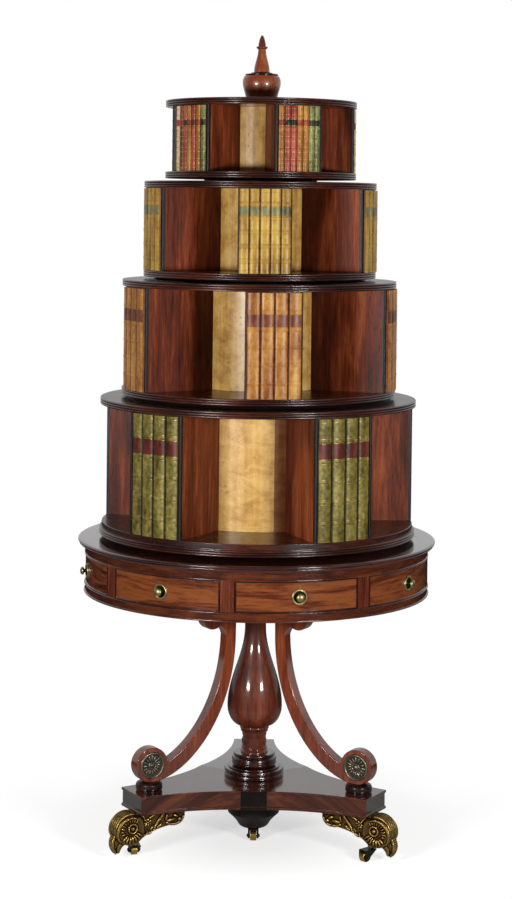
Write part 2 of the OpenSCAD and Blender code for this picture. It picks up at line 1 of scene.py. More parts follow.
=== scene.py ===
# A revolving bookcase: four round tiers of book compartments on a drum table,
# which stands on a turned column, three scroll legs and a three-armed platform
# with brass feet and casters. Outlines are in millimetres from the floor.
import math

import bpy
from mathutils import Matrix, Vector


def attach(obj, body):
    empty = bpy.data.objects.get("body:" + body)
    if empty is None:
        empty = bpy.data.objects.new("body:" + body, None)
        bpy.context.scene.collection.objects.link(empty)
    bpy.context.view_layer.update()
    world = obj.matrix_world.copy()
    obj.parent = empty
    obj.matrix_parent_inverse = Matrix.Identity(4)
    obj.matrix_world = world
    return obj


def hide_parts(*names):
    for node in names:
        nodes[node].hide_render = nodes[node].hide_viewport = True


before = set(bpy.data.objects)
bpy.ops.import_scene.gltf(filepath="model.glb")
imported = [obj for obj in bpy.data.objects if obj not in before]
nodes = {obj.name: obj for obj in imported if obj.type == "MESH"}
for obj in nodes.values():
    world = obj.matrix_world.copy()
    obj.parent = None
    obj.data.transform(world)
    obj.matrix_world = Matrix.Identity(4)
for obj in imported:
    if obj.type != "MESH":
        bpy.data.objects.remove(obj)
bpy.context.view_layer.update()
bpy.ops.object.select_all(action="DESELECT")


# Camera
# It stands straight in front of the bookcase at eye height, looks hardly downwards
# with its lens shifted down, and leans by two thirds of a degree, as in the photo.
def rotation(degrees, axis="Z"):
    return Matrix.Rotation(math.radians(degrees), 4, axis)


look_down, lean = 1.285, 0.65
aim = rotation(90 - look_down, "X") @ rotation(lean)
bpy.ops.object.camera_add(location=(-0.0092, -4.995, 1.534), rotation=aim.to_euler())
camera = bpy.context.object
camera.data.lens = 82.98
camera.data.shift_y = -0.22
bpy.context.scene.camera = camera


# Studio
# A pale floor that keeps the shadow under the platform, with painted shade from a weaker glow near
# the middle, and runs out into white; two soft boxes either side of the camera, and a white backdrop behind.
def add_node(tree, kind, settings=None, **inputs):
    """Adds a node; an input named A or _0 is found by that name or number."""
    made = tree.nodes.new("ShaderNode" + kind)
    for key, value in (settings or {}).items():
        setattr(made, key, value)
    for key, value in inputs.items():
        socket = made.inputs[int(key[1:]) if key[0] == "_" else key]
        if isinstance(value, bpy.types.NodeSocket):
            tree.links.new(value, socket)
        else:
            socket.default_value = value
    return made


def calc(tree, operation, *values):
    """A Math node's result."""
    inputs = {f"_{k}": value for k, value in enumerate(values)}
    return add_node(tree, "Math", {"operation": operation}, **inputs).outputs[0]


def ranged(tree, value, low, high, to_low=0.0, to_high=1.0, smooth=False):
    """A value carried over from one range to another."""
    ends = {"From Min": low, "From Max": high, "To Min": to_low, "To Max": to_high}
    kind = {"interpolation_type": "SMOOTHSTEP"} if smooth else {}
    return add_node(tree, "MapRange", kind, Value=value, **ends).outputs[0]


def blend(tree, share, first, second, how="MIX"):
    """Two colours blended by a share of the second."""
    settings = {"data_type": "RGBA", "blend_type": how}
    return add_node(tree, "Mix", settings, _0=share, _6=first, _7=second).outputs[2]


def spot(tree):
    """Object coordinates, which are those of the whole bookcase at rest."""
    return add_node(tree, "TexCoord").outputs["Object"]


def from_axis(tree):
    """The level direction from the axis, and the distance."""
    flat = add_node(tree, "VectorMath", {"operation": "MULTIPLY"}, _0=spot(tree), _1=(1, 1, 0)).outputs[0]
    return flat, add_node(tree, "VectorMath", {"operation": "LENGTH"}, _0=flat).outputs["Value"]


def seen_directly(tree):
    """1 where the camera, a reflection or glass looks at the surface itself."""
    path = add_node(tree, "LightPath")
    by_mirror = calc(tree, "MAXIMUM", path.outputs["Is Glossy Ray"], path.outputs["Is Transmission Ray"])
    return path.outputs["Is Camera Ray"], by_mirror


bpy.ops.mesh.primitive_circle_add(vertices=96, radius=9, fill_type="NGON")
floor = bpy.context.object
floor.name = "floor"
paint = bpy.data.materials.new("floor_paint")
paint.use_nodes = True
tree = paint.node_tree
tree.nodes.clear()
by_camera, by_mirror = seen_directly(tree)
far = from_axis(tree)[1]
# The glow is weaker near the middle: painted shade under the bookcase.
under = ranged(tree, far, 0.1, 0.34, 0.57, 0.72)
lift = add_node(tree, "Emission", Strength=calc(tree, "MULTIPLY", by_camera, under)).outputs[0]
beyond = calc(tree, "MULTIPLY", by_mirror, ranged(tree, far, 0.8, 1.5))
shade = blend(tree, beyond, (0.6, 0.6, 0.6, 1), (0.07, 0.06, 0.06, 1))
matt = add_node(tree, "BsdfDiffuse", Color=shade).outputs[0]
near = add_node(tree, "AddShader", _0=matt, _1=lift).outputs[0]
white = add_node(tree, "Emission", Strength=1.0).outputs[0]
runs_out = calc(tree, "MULTIPLY", ranged(tree, far, 0.36, 0.85, smooth=True), by_camera)
surface = add_node(tree, "MixShader", _0=runs_out, _1=near, _2=white)
add_node(tree, "OutputMaterial", Surface=surface.outputs[0])
floor.data.materials.append(paint)

world = bpy.data.worlds.new("studio")
bpy.context.scene.world = world
world.use_nodes = True
tree = world.node_tree
by_camera, by_mirror = seen_directly(tree)
direction = add_node(tree, "TexCoord").outputs["Generated"]
backwards = add_node(tree, "SeparateXYZ", _0=direction).outputs["Y"]
fill = ranged(tree, backwards, 0.0, 0.8, 0.125, 0.36)
backdrop = ranged(tree, backwards, -0.25, 0.5, 0.05, 0.64, smooth=True)
level = add_node(tree, "Mix", {"data_type": "FLOAT"}, _0=by_mirror, _2=fill, _3=backdrop).outputs[0]
level = add_node(tree, "Mix", {"data_type": "FLOAT"}, _0=by_camera, _2=level, _3=1.0).outputs[0]
tree.links.new(level, tree.nodes["Background"].inputs["Strength"])
tree.nodes["Background"].inputs["Color"].default_value = (1, 1, 1, 1)

lamp_far, lamp_high, lamp_aim = 3.2, 1.24, Vector((0, 0, 1.1))
for side, turn in (("left", -32), ("right", 32)):
    a = math.radians(turn)
    place = (lamp_far * math.sin(a), -lamp_far * math.cos(a), lamp_high)
    bpy.ops.object.light_add(type="AREA", location=place)
    lamp = bpy.context.object
    lamp.name = "soft_box_" + side
    lamp.data.shape = "RECTANGLE"
    lamp.data.size = 0.7
    lamp.data.size_y = 0.3
    lamp.data.energy = 58
    lamp.visible_camera = False
    lamp.rotation_euler = (lamp_aim - lamp.location).to_track_quat("-Z", "Y").to_euler()

bpy.context.scene.view_settings.view_transform = "Standard"


# Platform
# A three-armed slab of mahogany with a small lip at its top and bottom edge. Two
# hollows meet in a blunt face between each pair of arms, painted black as painted dark reflection; the top is
# veneered, with painted sheen on the back arm, and the arms' ends are painted dark as painted reflection.
MM = 0.001


def tone(code):
    """The colour of a code such as 5a2d20, as the shaders take it."""
    parts = [int(code[k:k + 2], 16) / 255 for k in (0, 2, 4)]
    return tuple(p / 12.92 if p <= 0.04045 else ((p + 0.055) / 1.055) ** 2.4 for p in parts) + (1,)


def polished(name, **sockets):
    """A new finish: its node tree, its shader and itself."""
    made = bpy.data.materials.new(name)
    made.use_nodes = True
    shader = made.node_tree.nodes["Principled BSDF"]
    for key, value in sockets.items():
        shader.inputs[key.replace("_", " ")].default_value = value
    return made.node_tree, shader, made


def along(tree, stretch, around=False):
    """Object coordinates stretched to the grain. Grain that runs around has the
    direction from the axis in place of x and y, so that it has no seam."""
    place = spot(tree)
    if around:
        flat, far = from_axis(tree)
        unit = add_node(tree, "VectorMath", {"operation": "NORMALIZE"}, _0=flat).outputs[0]
        part = add_node(tree, "SeparateXYZ", _0=unit)
        height = add_node(tree, "SeparateXYZ", _0=place).outputs["Z"]
        slanted = calc(tree, "MULTIPLY_ADD", far, 0.7, height)
        place = add_node(tree, "CombineXYZ", X=part.outputs["X"], Y=part.outputs["Y"], Z=slanted).outputs[0]
    return add_node(tree, "VectorMath", {"operation": "MULTIPLY"}, _0=place, _1=stretch).outputs[0]


def noise(tree, place, scale=1.0, detail=2.0, rough=0.5, bend=0.0):
    return add_node(tree, "TexNoise", Vector=place, Scale=scale, Detail=detail, Roughness=rough,
                    Distortion=bend).outputs[0]


def ramp(tree, share, places, tones):
    """A colour that runs through the tones, from dark to light."""
    made = add_node(tree, "ValToRGB", Fac=share)
    points = made.color_ramp.elements
    while len(points) < len(places):
        points.new(0.5)
    for point, place, code in zip(points, places, tones.split()):
        point.position = place
        point.color = tone(code)
    return made.outputs[0]


def surfaced(tree, shader, colour, rough, relief, strength, deep):
    """Leads colour, roughness and a relief, deep in millimetres, to the shader."""
    tree.links.new(colour, shader.inputs["Base Color"])
    if rough is not None:
        tree.links.new(rough, shader.inputs["Roughness"])
    bump = add_node(tree, "Bump", Height=relief, Strength=strength, Distance=deep * MM)
    tree.links.new(bump.outputs[0], shader.inputs["Normal"])


def wood(name, tones, grain, around=False, gloss=0.16, coat=0.6, depth=0.08, shine=0.5, figure=1.0, burl=0.0):
    """Polished wood. tones go from dark to light, and grain is the stretch of its
    broad figure; fine lines and open pores follow it."""
    tree, shader, made = polished(name, Coat_Weight=coat, Coat_Roughness=0.1, Specular_IOR_Level=shine)
    broad = noise(tree, along(tree, grain, around), figure, 5.0, 0.6, 0.6 + burl)
    lines = noise(tree, along(tree, [g * 9 if g > 6 else g * 4 for g in grain], around), 1.0, 4.0, 0.65)
    pores = noise(tree, along(tree, [g * 32 if g > 6 else g * 22 for g in grain], around))
    pores = ranged(tree, pores, 0.58, 0.68)
    shown = calc(tree, "MULTIPLY_ADD", lines, 0.38, calc(tree, "MULTIPLY", broad, 0.62))
    steps = tones.count(" ")
    clean = ramp(tree, shown, [0.34 + 0.32 * k / steps for k in range(steps + 1)], tones)
    colour = blend(tree, calc(tree, "MULTIPLY", pores, 0.45), clean, (0.35, 0.25, 0.22, 1), "MULTIPLY")
    rough = calc(tree, "MULTIPLY_ADD", pores, 0.15, calc(tree, "MULTIPLY_ADD", lines, 0.22, gloss - 0.08))
    surfaced(tree, shader, colour, rough, calc(tree, "MULTIPLY_ADD", pores, -0.6, lines), depth, 0.6)
    return made


def drawn(name, outline):
    """A new piece that is one line of points, left chosen in edit mode."""
    bpy.ops.object.select_all(action="DESELECT")
    bpy.ops.mesh.primitive_plane_add(size=0.002, enter_editmode=True)
    bpy.context.object.name = name
    bpy.ops.mesh.select_mode(type="VERT")
    bpy.ops.mesh.select_all(action="SELECT")
    bpy.ops.mesh.merge(type="CENTER")
    bpy.ops.transform.translate(value=Vector(outline[0]) * MM)
    for here, there in zip(outline, outline[1:]):
        step = (Vector(there) - Vector(here)) * MM
        bpy.ops.mesh.extrude_region_move(TRANSFORM_OT_translate={"value": step})
    bpy.ops.mesh.select_all(action="SELECT")
    return bpy.context.object


def closed_up():
    """Merges what meets and turns the faces outwards, and ends edit mode."""
    bpy.ops.mesh.select_all(action="SELECT")
    bpy.ops.mesh.remove_doubles(threshold=0.00001)
    bpy.ops.mesh.normals_make_consistent(inside=False)
    bpy.ops.object.mode_set(mode="OBJECT")


def board(name, outline, push):
    """A flat outline, filled and pushed out to its thickness."""
    piece = drawn(name, outline)
    bpy.ops.mesh.edge_face_add()
    bpy.ops.mesh.extrude_region_move(TRANSFORM_OT_translate={"value": Vector(push) * MM})
    closed_up()
    return piece


def choose(piece):
    """Leaves only this piece selected, and active."""
    bpy.ops.object.select_all(action="DESELECT")
    piece.select_set(True)
    bpy.context.view_layer.objects.active = piece


def worked(piece, kind, **settings):
    """Puts a modifier on the chosen piece and applies it."""
    change = piece.modifiers.new(kind.lower(), kind)
    for key, value in settings.items():
        setattr(change, key, value)
    bpy.ops.object.modifier_apply(modifier=change.name)


def smoothed(piece, angle=32):
    """Shades the curves smooth, and keeps the flats beside them flat."""
    choose(piece)
    bpy.ops.object.shade_smooth_by_angle(angle=math.radians(angle))
    worked(piece, "WEIGHTED_NORMAL", keep_sharp=True)
    return piece


def softened(piece, width, segments=2, angle=35):
    """Takes the arrises off with a bevel."""
    choose(piece)
    worked(piece, "BEVEL", width=width * MM, segments=segments, limit_method="ANGLE",
           angle_limit=math.radians(angle), use_clamp_overlap=True)
    return smoothed(piece)


def pick_faces(piece, test):
    """Goes to edit mode with the faces chosen whose middle and normal pass."""
    choose(piece)
    bpy.ops.object.mode_set(mode="EDIT")
    bpy.ops.mesh.select_mode(type="FACE")
    bpy.ops.mesh.select_all(action="DESELECT")
    bpy.ops.object.mode_set(mode="OBJECT")
    for face in piece.data.polygons:
        face.select = test(face.center / MM, face.normal)
    bpy.ops.object.mode_set(mode="EDIT")


def cut_across(piece, heights):
    """Puts a line round the piece at each height."""
    pick_faces(piece, lambda middle, normal: True)
    for z in heights:
        bpy.ops.mesh.select_all(action="SELECT")
        bpy.ops.mesh.bisect(plane_co=(0, 0, z * MM), plane_no=(0, 0, 1))
    bpy.ops.object.mode_set(mode="OBJECT")


def finished(piece, body, materials, stands_for=(), where=None):
    """Gives the piece its finishes, its body and the nodes it shows.
    where picks the second finish and on, by a face's middle and normal."""
    if materials:
        piece.data.materials.clear()
    for material in materials:
        piece.data.materials.append(material)
    if where:
        for face in piece.data.polygons:
            face.material_index = where(face.center / MM, face.normal)
    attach(piece, body)
    if stands_for:
        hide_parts(*stands_for)
    return piece


platform_z, platform_t = 111, 44
platform_top = platform_z + platform_t
arm_r, arm_w, waist_r = 332, 98, 148
blunt, hollow = 31, 15
lip, lip_h, lip_slope = 3, 4.5, 2
along_arm = arm_r * math.cos(math.pi / 3) + arm_w / 2 * math.sin(math.pi / 3)
across_arm = arm_r * math.sin(math.pi / 3) - arm_w / 2 * math.cos(math.pi / 3)
arm_end = Vector((along_arm + 2, across_arm - 1))
corner = Vector((waist_r + 1, blunt))
side = (corner - arm_end).normalized()
inwards = Vector((side.y, -side.x)) * hollow * 4
half = [arm_end.lerp(corner, k / 20) + inwards * (k / 20) * (1 - k / 20) for k in range(21)]
whole = [Vector((p.x, -p.y)) for p in half] + [Vector((waist_r + lip, 0))] + list(reversed(half))
plan = []
for turn in (30, 150, 270):
    middle = Matrix.Rotation(math.radians(turn), 2)
    plan += [(p.x, p.y, platform_z) for p in (middle @ p for p in whole)]
platform = board("platform_slab", plan, (0, 0, platform_t))
lower_lip, upper_lip = platform_z + lip_h, platform_top - lip_h
inset_z0, inset_z1 = lower_lip + lip_slope, upper_lip - lip_slope
cut_across(platform, [lower_lip, inset_z0, inset_z1, upper_lip])
pick_faces(platform, lambda middle, normal: abs(normal.z) > 0.9)
for mitre in (30, -210):
    across = (-math.sin(math.radians(mitre)), math.cos(math.radians(mitre)), 0)
    bpy.ops.mesh.bisect(plane_co=(0, 0, 0), plane_no=across)
    bpy.ops.mesh.select_all(action="SELECT")
bpy.ops.object.mode_set(mode="OBJECT")
pick_faces(platform, lambda middle, normal: abs(normal.z) < 0.5 and inset_z0 < middle.z < inset_z1)
bpy.ops.mesh.extrude_region_shrink_fatten(TRANSFORM_OT_shrink_fatten={"value": -lip * MM})
closed_up()
softened(platform, 1.1, 3)
veneer_top = wood("platform_veneer", "241009 4a2216 6b3522", (26, 3, 26), gloss=0.13)
veneer_side = wood("platform_side", "190b07 421c10 68351c", (1.6, 1.6, 30), True, 0.3, 0.2, 0.04, 0.35)
# The arms' ends are the side veneer painted grey-black: painted reflection.
end_painted_reflection = wood("platform_end_painted_reflection", "0c0808 1e1414 33221e", (2, 2, 30), True, 0.22, 1.0, 0.03)
# The back arm's veneer has its own grain; its lighter purple-grey tone is painted sheen.
back_arm_sheen_veneer = wood("platform_back_arm_sheen_veneer", "2c1a1c 55343a 7a545a", (3, 26, 26), gloss=0.12, coat=1.0)
# The blunt faces are painted near black: a painted dark reflection.
painted_dark_reflection = wood("platform_painted_dark_reflection", "040303 0c0706 1a0f0c", (2, 2, 30), True, 0.6, 0.0, shine=0.15)


def which_side(middle, normal):
    """The veneer on top, which is mitred at the back arm and has painted sheen there, the
    side veneer, the arms' ends painted dark as painted reflection, or the blunt faces painted black as painted
    dark reflection."""
    if abs(normal.z) > 0.7:
        return 3 if middle.y > 0 and abs(middle.x) < 1.7 * middle.y else 0
    far = math.hypot(middle.x, middle.y)
    outwards = (middle.x * normal.x + middle.y * normal.y) / far
    blunt_to = 149.3 if 117 < middle.z < 149 else 152.5
    return 2 if far > 300 and outwards > 0.94 else 4 if far < blunt_to else 1


finished(platform, "stand", [veneer_top, veneer_side, end_painted_reflection, back_arm_sheen_veneer, painted_dark_reflection],
         ["platform"], which_side)


# Boss and column
# Turned mahogany. The boss is a dark dish under the platform's middle, and the
# column is a vase on a moulded plinth, fixed through the platform.
def arc(x, z, rx, rz, start, end, steps=8):
    """Points of an arc, in radius and height."""
    swings = [math.radians(start + (end - start) * k / steps) for k in range(steps + 1)]
    return [(x + rx * math.cos(a), z + rz * math.sin(a)) for a in swings]


def ease(x0, z0, x1, z1, steps=12):
    """Points of a soft S, upright at both ends."""
    return [(x0 + (x1 - x0) * (1 - math.cos(math.pi * k / steps)) / 2, z0 + (z1 - z0) * k / steps)
            for k in range(steps + 1)]


def reeds(r, z0, z1, count, depth):
    """Points of half-round reeds up an edge."""
    half = (z1 - z0) / count / 2
    return [point for k in range(count)
            for point in arc(r - depth, z0 + half * (2 * k + 1), depth, half, -90, 90)]


def turned(name, outline, steps=96, angle=32):
    """A piece turned on the lathe from its outline in radius and height."""
    piece = drawn(name, [(r, 0, z) for r, z in outline])
    bpy.ops.mesh.spin(steps=steps, angle=math.tau, center=(0, 0, 0), axis=(0, 0, 1))
    closed_up()
    return smoothed(piece, angle)


boss_z, boss_r, plinth_top, column_top = 28.3, 62, 211, 577
boss_wood = wood("boss_wood", "050303 180a09 361517", (2, 2, 30), True, 0.4, 0.12, 0.03, 0.25)
boss = turned("pendant_boss_dish", [(0, boss_z), (22, boss_z)] + arc(21, 47, 19, 18, -80, -18, 8) + [
    (44, 48), (48, 52.5), (52.5, 57), (57.5, 61.5), (boss_r, 66), (boss_r, 110.9), (0, 110.9)])
finished(boss, "stand", [boss_wood], ["pendant_boss"])
dark_turned = wood("dark_turned_wood", "0c0504 250f0b 431b12", (2, 2, 30), True, 0.18, 0.8, 0.04)
plinth = turned("column_plinth", [(0, 155.1)] + reeds(72, 155.1, 176, 2, 1.8) + reeds(62, 176, 180, 1, 1)
                + arc(46, 188, 8, 8, -90, 18) + arc(46, 196, 8, 8, -18, 90) + reeds(50, 204, plinth_top, 1, 1.6)
                + [(0, plinth_top)])
finished(plinth, "stand", [dark_turned], ["plinth"])
turned_wood = wood("column_wood", "2a0f08 622a18 86472a", (14, 14, 2.2), gloss=0.42, coat=0.7, depth=0.04,
                   shine=0.2)
vase = [(0, plinth_top), (33, plinth_top)] + ease(33, 213, 28.5, 220, 5) + arc(28.5, 223, 2.5, 3, -90, 90, 6)
vase += ease(28.5, 226, 27.5, 243, 6) + ease(27.5, 243, 30, 262, 6) + arc(30, 264, 3.4, 2.2, -90, 90, 6)
vase += arc(30, 271.5, 5, 5.3, -90, 90, 8) + arc(33, 325, 33, 48, -76, 0, 14)
vase += ease(66, 325, 25.5, 516, 28)[1:] + [(25.5, 539)] + arc(27.5, 542, 5, 3, -90, 90, 6)
vase += ease(29.5, 547, 55, 571, 8) + [(55, column_top), (0, column_top)]
column = turned("column_vase", vase, angle=40)
finished(column, "stand", [turned_wood], ["column"])


# Scroll legs
# Three sawn mahogany legs, curled outwards at the top under the table's block and
# at the foot, where each stands on a turned bun.
def turned_to(piece, turn):
    """Turns a piece made along +X to a turn from straight ahead."""
    piece.data.transform(rotation(turn - 90))
    return piece


def copied(piece, name, turn=0):
    """A further piece with its own mesh, turned about the axis."""
    extra = piece.copy()
    extra.data = piece.data.copy()
    extra.name = name
    bpy.context.collection.objects.link(extra)
    extra.data.transform(rotation(turn))
    return extra


def placed(piece, x, y, z, degrees=0, axis="X"):
    """Turns a piece about its own axis, then moves it."""
    piece.data.transform(Matrix.Translation(Vector((x, y, z)) * MM) @ rotation(degrees, axis))
    return piece


def joined(pieces, name=None):
    choose(pieces[0])
    for piece in pieces:
        piece.select_set(True)
    if len(pieces) > 1:
        bpy.ops.object.join()
    if name:
        pieces[0].name = name
    return pieces[0]


def ringed(piece, count, name=None):
    """The piece, and its copies round the axis joined to it."""
    return joined([piece] + [copied(piece, "more", 360 / count * k) for k in range(1, count)], name)


def curve_point(points, t):
    a, b, c, d = (Vector(p) for p in points)
    return a * (1 - t) ** 3 + b * 3 * (1 - t) ** 2 * t + c * 3 * (1 - t) * t * t + d * t ** 3


def leg_side(points, way, steps=70):
    """A side of the leg, which grows from 26 to 36 mm along its curve."""
    side = []
    for k in range(steps + 1):
        t, width = k / steps, 13 + 5 * k / steps
        ahead = curve_point(points, min(t + 0.002, 1)) - curve_point(points, max(t - 0.002, 0))
        side.append(curve_point(points, t) + Vector((-ahead.y, ahead.x)).normalized() * width * way)
    return side


scroll_x, scroll_z, scroll_r, leg_t = 285, 216, 41, 32
leg_turns = (60, -60, 180)
leg_curve = [(75.5, 510), (75.5, 315), (200, 193), (scroll_x, 193)]
low_scroll = Vector((scroll_x, scroll_z))
outer = [p for p in leg_side(leg_curve, 1) if (p - low_scroll).length > scroll_r + 1]
meets = math.degrees(math.atan2(outer[-1].y - scroll_z, outer[-1].x - scroll_x)) % 360
leg_outline = (arc(124, 530, 62, 47, 180, 92, 12) + [(124, column_top), (143.5, column_top), (143.5, 570)]
               + arc(124, 549, 28, 28, 42, -132, 18) + [(98, 522), (92, 514), (88.5, 505)]
               + [tuple(p) for p in outer[1:]] + arc(scroll_x, scroll_z, scroll_r, scroll_r, meets - 3, -88, 34)
               + [tuple(p) for p in reversed(leg_side(leg_curve, -1))])
leg = board("scroll_leg_1_sawn", [(x, -leg_t / 2, z) for x, z in leg_outline], (0, leg_t, 0))
turned_to(softened(leg, 2.2, 3, 50), leg_turns[0])
leg_wood = wood("leg_wood", "3c150a 74321a 9c4f28", (30, 30, 3.5), figure=0.9, gloss=0.15)
legs = [leg] + [copied(leg, f"scroll_leg_{k + 1}_sawn", leg_turns[k] - leg_turns[0]) for k in (1, 2)]
for k, piece in enumerate(legs):
    finished(piece, "stand", [leg_wood], [f"scroll_leg_{k + 1}"])

bun_wood = wood("bun_wood", "040202 140705 402018", (2, 2, 30), True, 0.4, 0.3, 0.03, 0.2)
bun = turned("leg_buns_turned", [(0, 155.1), (28.5, 155.1)] + arc(25.5, 160, 6, 4.6, -60, 0, 5)
             + arc(25.5, 167, 6, 7.9, 0, 90, 8) + [(0, 174.9)], 64)
buns = ringed(turned_to(placed(bun, scroll_x, 0, 0), leg_turns[0]), 3)
finished(buns, "stand", [bun_wood], ["leg_buns"])


# Rosettes
# Cast brass flowers with a beaded rim, pinned to both sides of each lower scroll.
def cast_brass(name, bright, deep, rough=0.3, patina=0.5, grit=900.0, worn_above=0.52, soft=0.08, stain=70.0):
    """Old brass: bright where it is rubbed, brown in its hollows."""
    tree, shader, made = polished(name, Metallic=1.0)
    stains = noise(tree, spot(tree), stain, 5.0, 0.7)
    fine = noise(tree, spot(tree), grit, 3.0)
    sunk = ranged(tree, add_node(tree, "NewGeometry").outputs["Pointiness"], worn_above, worn_above - soft)
    dull = calc(tree, "MAXIMUM", sunk, calc(tree, "MULTIPLY", ranged(tree, stains, 0.42, 0.66), patina))
    rough = calc(tree, "MULTIPLY_ADD", dull, 0.3, calc(tree, "MULTIPLY_ADD", fine, 0.12, rough - 0.06))
    surfaced(tree, shader, blend(tree, dull, tone(bright), tone(deep)), rough, fine, 0.12, 0.4)
    return made


def lump(x, y, z, sx, sy, sz, tilt=0.0, swing=0.0):
    """A rounded lump, tilted in the plane of radius and height, then swung."""
    bpy.ops.mesh.primitive_uv_sphere_add(segments=14, ring_count=8, radius=MM)
    made = bpy.context.object
    turn = rotation(swing) @ rotation(-tilt, "Y")
    made.data.transform(Matrix.Translation(Vector((x, y, z)) * MM) @ turn @ Matrix.Diagonal((sx, sy, sz, 1)))
    return made


old_brass = cast_brass("aged_brass", "908a78", "110f0e", 0.32, 0.8)
rosette = [(0, 0), (31, 0)] + arc(28.4, 1.2, 2.6, 2.2, -20, 170, 8) + [(24, 1.0), (10.5, 0.7), (10, 1.4)]
rosette += [(9, 2.4), (7.4, 2.4), (6.6, 1.6)] + arc(0, 1.4, 5.4, 2.4, 10, 90, 5)
flower = [turned("rosette", rosette, 72)]
petals, petal_r = 16, 17.4
for k in range(petals):
    swing = 360 / petals * k
    out = Vector((math.cos(math.radians(swing)), math.sin(math.radians(swing)))) * petal_r
    flower.append(lump(out.x, out.y, 0.9, 7.6, 2.7, 2.0, 0, swing))
flower = smoothed(joined(flower), 50)
placed(flower, 0, -leg_t / 2, scroll_z, 90)
flower = joined([flower, copied(flower, "rosette_other", 180)], "leg_rosettes_cast")
flowers = ringed(turned_to(placed(flower, scroll_x, 0, 0), leg_turns[0]), 3)
finished(flowers, "stand", [old_brass], ["leg_rosettes"])


# Table body
# A mahogany block on the column, and above it two curved rails with small beads
# along their edges, glued up and veneered; stiles stand between the fronts.
rail_wood = wood("rail_veneer", "1e0a06 482012 6c351e", (2.4, 2.4, 34), True, 0.15, depth=0.05)
block = [(0, 577.1), (150, 577.1)] + arc(150, 591.5, 12, 14, -90, 90, 14) + [(0, 605.9)]
block = turned("block_turned", block, 128)
finished(block, "stand", [rail_wood], ["top_block"])
rail_in, frieze_r = 393, 413
rail_z0, front_z0, front_z1, rail_z1 = 606, 628, 698, 718.5
low_rail = [(rail_in, rail_z0), (frieze_r - 1, rail_z0)] + arc(frieze_r, 608.4, 2.5, 2.4, -90, 90, 7) + [
    (frieze_r, 611.4), (frieze_r, 624.4)] + arc(frieze_r, 626.2, 1.8, 1.7, -80, 90, 6) + [
    (rail_in, front_z0), (rail_in, rail_z0)]
high_rail = [(rail_in, front_z1)] + arc(frieze_r, 699.6, 1.3, 1.5, -90, 70, 6) + [
    (frieze_r, 701.6), (frieze_r, rail_z1), (rail_in, rail_z1), (rail_in, front_z1)]
for name, outline in (("lower_rail", low_rail), ("upper_rail", high_rail)):
    finished(turned(f"{name}_veneered", outline, 192), "stand", [rail_wood], [name])


def swept(name, outline, start, end, steps):
    """A closed outline in radius and height, swept about the axis."""
    piece = drawn(name, [(r, 0, z) for r, z in outline])
    bpy.ops.mesh.edge_face_add()
    bpy.ops.mesh.spin(steps=steps, angle=math.radians(end - start), center=(0, 0, 0), axis=(0, 0, -1))
    closed_up()
    piece.data.transform(rotation(start))
    return piece


def slab(name, x0, x1, y0, y1, z, high):
    """A plain board, square to the drawer that it belongs to."""
    return board(name, [(x0, y0, z), (x1, y0, z), (x1, y1, z), (x0, y1, z)], (0, 0, high))


def mirrored(piece):
    """A copy on the other side of +X."""
    other = copied(piece, piece.name)
    other.data.transform(Matrix.Diagonal((1, -1, 1, 1)))
    other.data.flip_normals()
    return other


def cleared(*spares):
    for spare in spares:
        bpy.data.objects.remove(spare)


def refinished(node, finish):
    """Gives a hidden piece of the bookcase its real material."""
    nodes[node].data.materials.clear()
    nodes[node].data.materials.append(finish)


drawer_turn, drawer_half_w, guide_z = 13.5, 131, 614
stile_wood = wood("stile_wood", "2e120b 5c2818 7e3f26", (34, 34, 4), gloss=0.17)
stile = [(rail_in, front_z0), (frieze_r, front_z0), (frieze_r, front_z1), (rail_in, front_z1)]
stile = swept("stile", stile, -2.2, 2.2, 6)
turned_to(softened(stile, 0.8), drawer_turn + 22.5)
guide = slab("guide", 158, 365, drawer_half_w + 0.3, 152, guide_z, 76)
ledge = slab("ledge", 158, 365, drawer_half_w - 10, drawer_half_w + 0.3, guide_z, 17.7)
runner = softened(joined([guide, ledge]), 0.8)
runner = turned_to(joined([runner, mirrored(runner)]), drawer_turn)
frame_parts = joined([copied(stile, "stile", 45 * k) for k in range(8)]
                     + [copied(runner, "runner", 90 * k) for k in range(4)], "drawer_frame_stiles")
cleared(stile, runner)
finished(frame_parts, "stand", [stile_wood], ["drawer_frame"])
carcass_wood = wood("carcass_board", "5a3420 7c4e30 96643f", (3, 26, 26), gloss=0.5, coat=0.0)
refinished("table_floor", carcass_wood)


# Table top
# A round mahogany top, hardly sunk inside its rim, with a reeded nose over a cove.
bore_r, table_top = 14, 735
top_wood = wood("top_veneer", "200f0a 43201a 5d2f22", (3, 28, 28), gloss=0.1, coat=0.8)
nose_wood = wood("nose_wood", "1a0c0a 3a1c17 5a2f22", (2, 2, 34), True, 0.13)
nose = [(bore_r, rail_z1), (415, rail_z1)] + arc(424, 719.2, 8, 3.6, 180, 100, 5)
nose += arc(424.6, 725, 2.6, 2.2, -80, 80, 6) + arc(425.6, 730.9, 4.4, 3.4, -90, 80, 8)
nose += [(424.8, table_top), (387, table_top), (386, table_top - 0.8)]
top = turned("table_top_veneered", nose + [(bore_r, table_top - 1), (bore_r, rail_z1)], 192)
finished(top, "stand", [top_wood, nose_wood], ["table_top"],
         lambda middle, normal: normal.z < 0.9)


# Fronts and drawers
# Four drawers between four blank fronts, each of figured mahogany with a bead round it,
# coloured dark as painted shade. The drawers are boxes of plain boards that slide on ledges.
figured = wood("figured_mahogany", "260c06 5c2a16 884a24 6c371b", (1.3, 1.3, 20), True, 0.15, 0.8, burl=1.0)
# The bead and the panel's edges are coloured dark: painted shade of the line round each panel.
bead_painted_shade_wood = wood("bead_painted_shade_wood", "120807 2f1510 4a2419", (2, 2, 40), True, 0.14)
drawer_wood = wood("drawer_board", "8a623a a87d4e bd9663", (3, 30, 30), gloss=0.45, coat=0.0)
bead_h, bead_deg, panel_r = 3, 0.45, 411.4


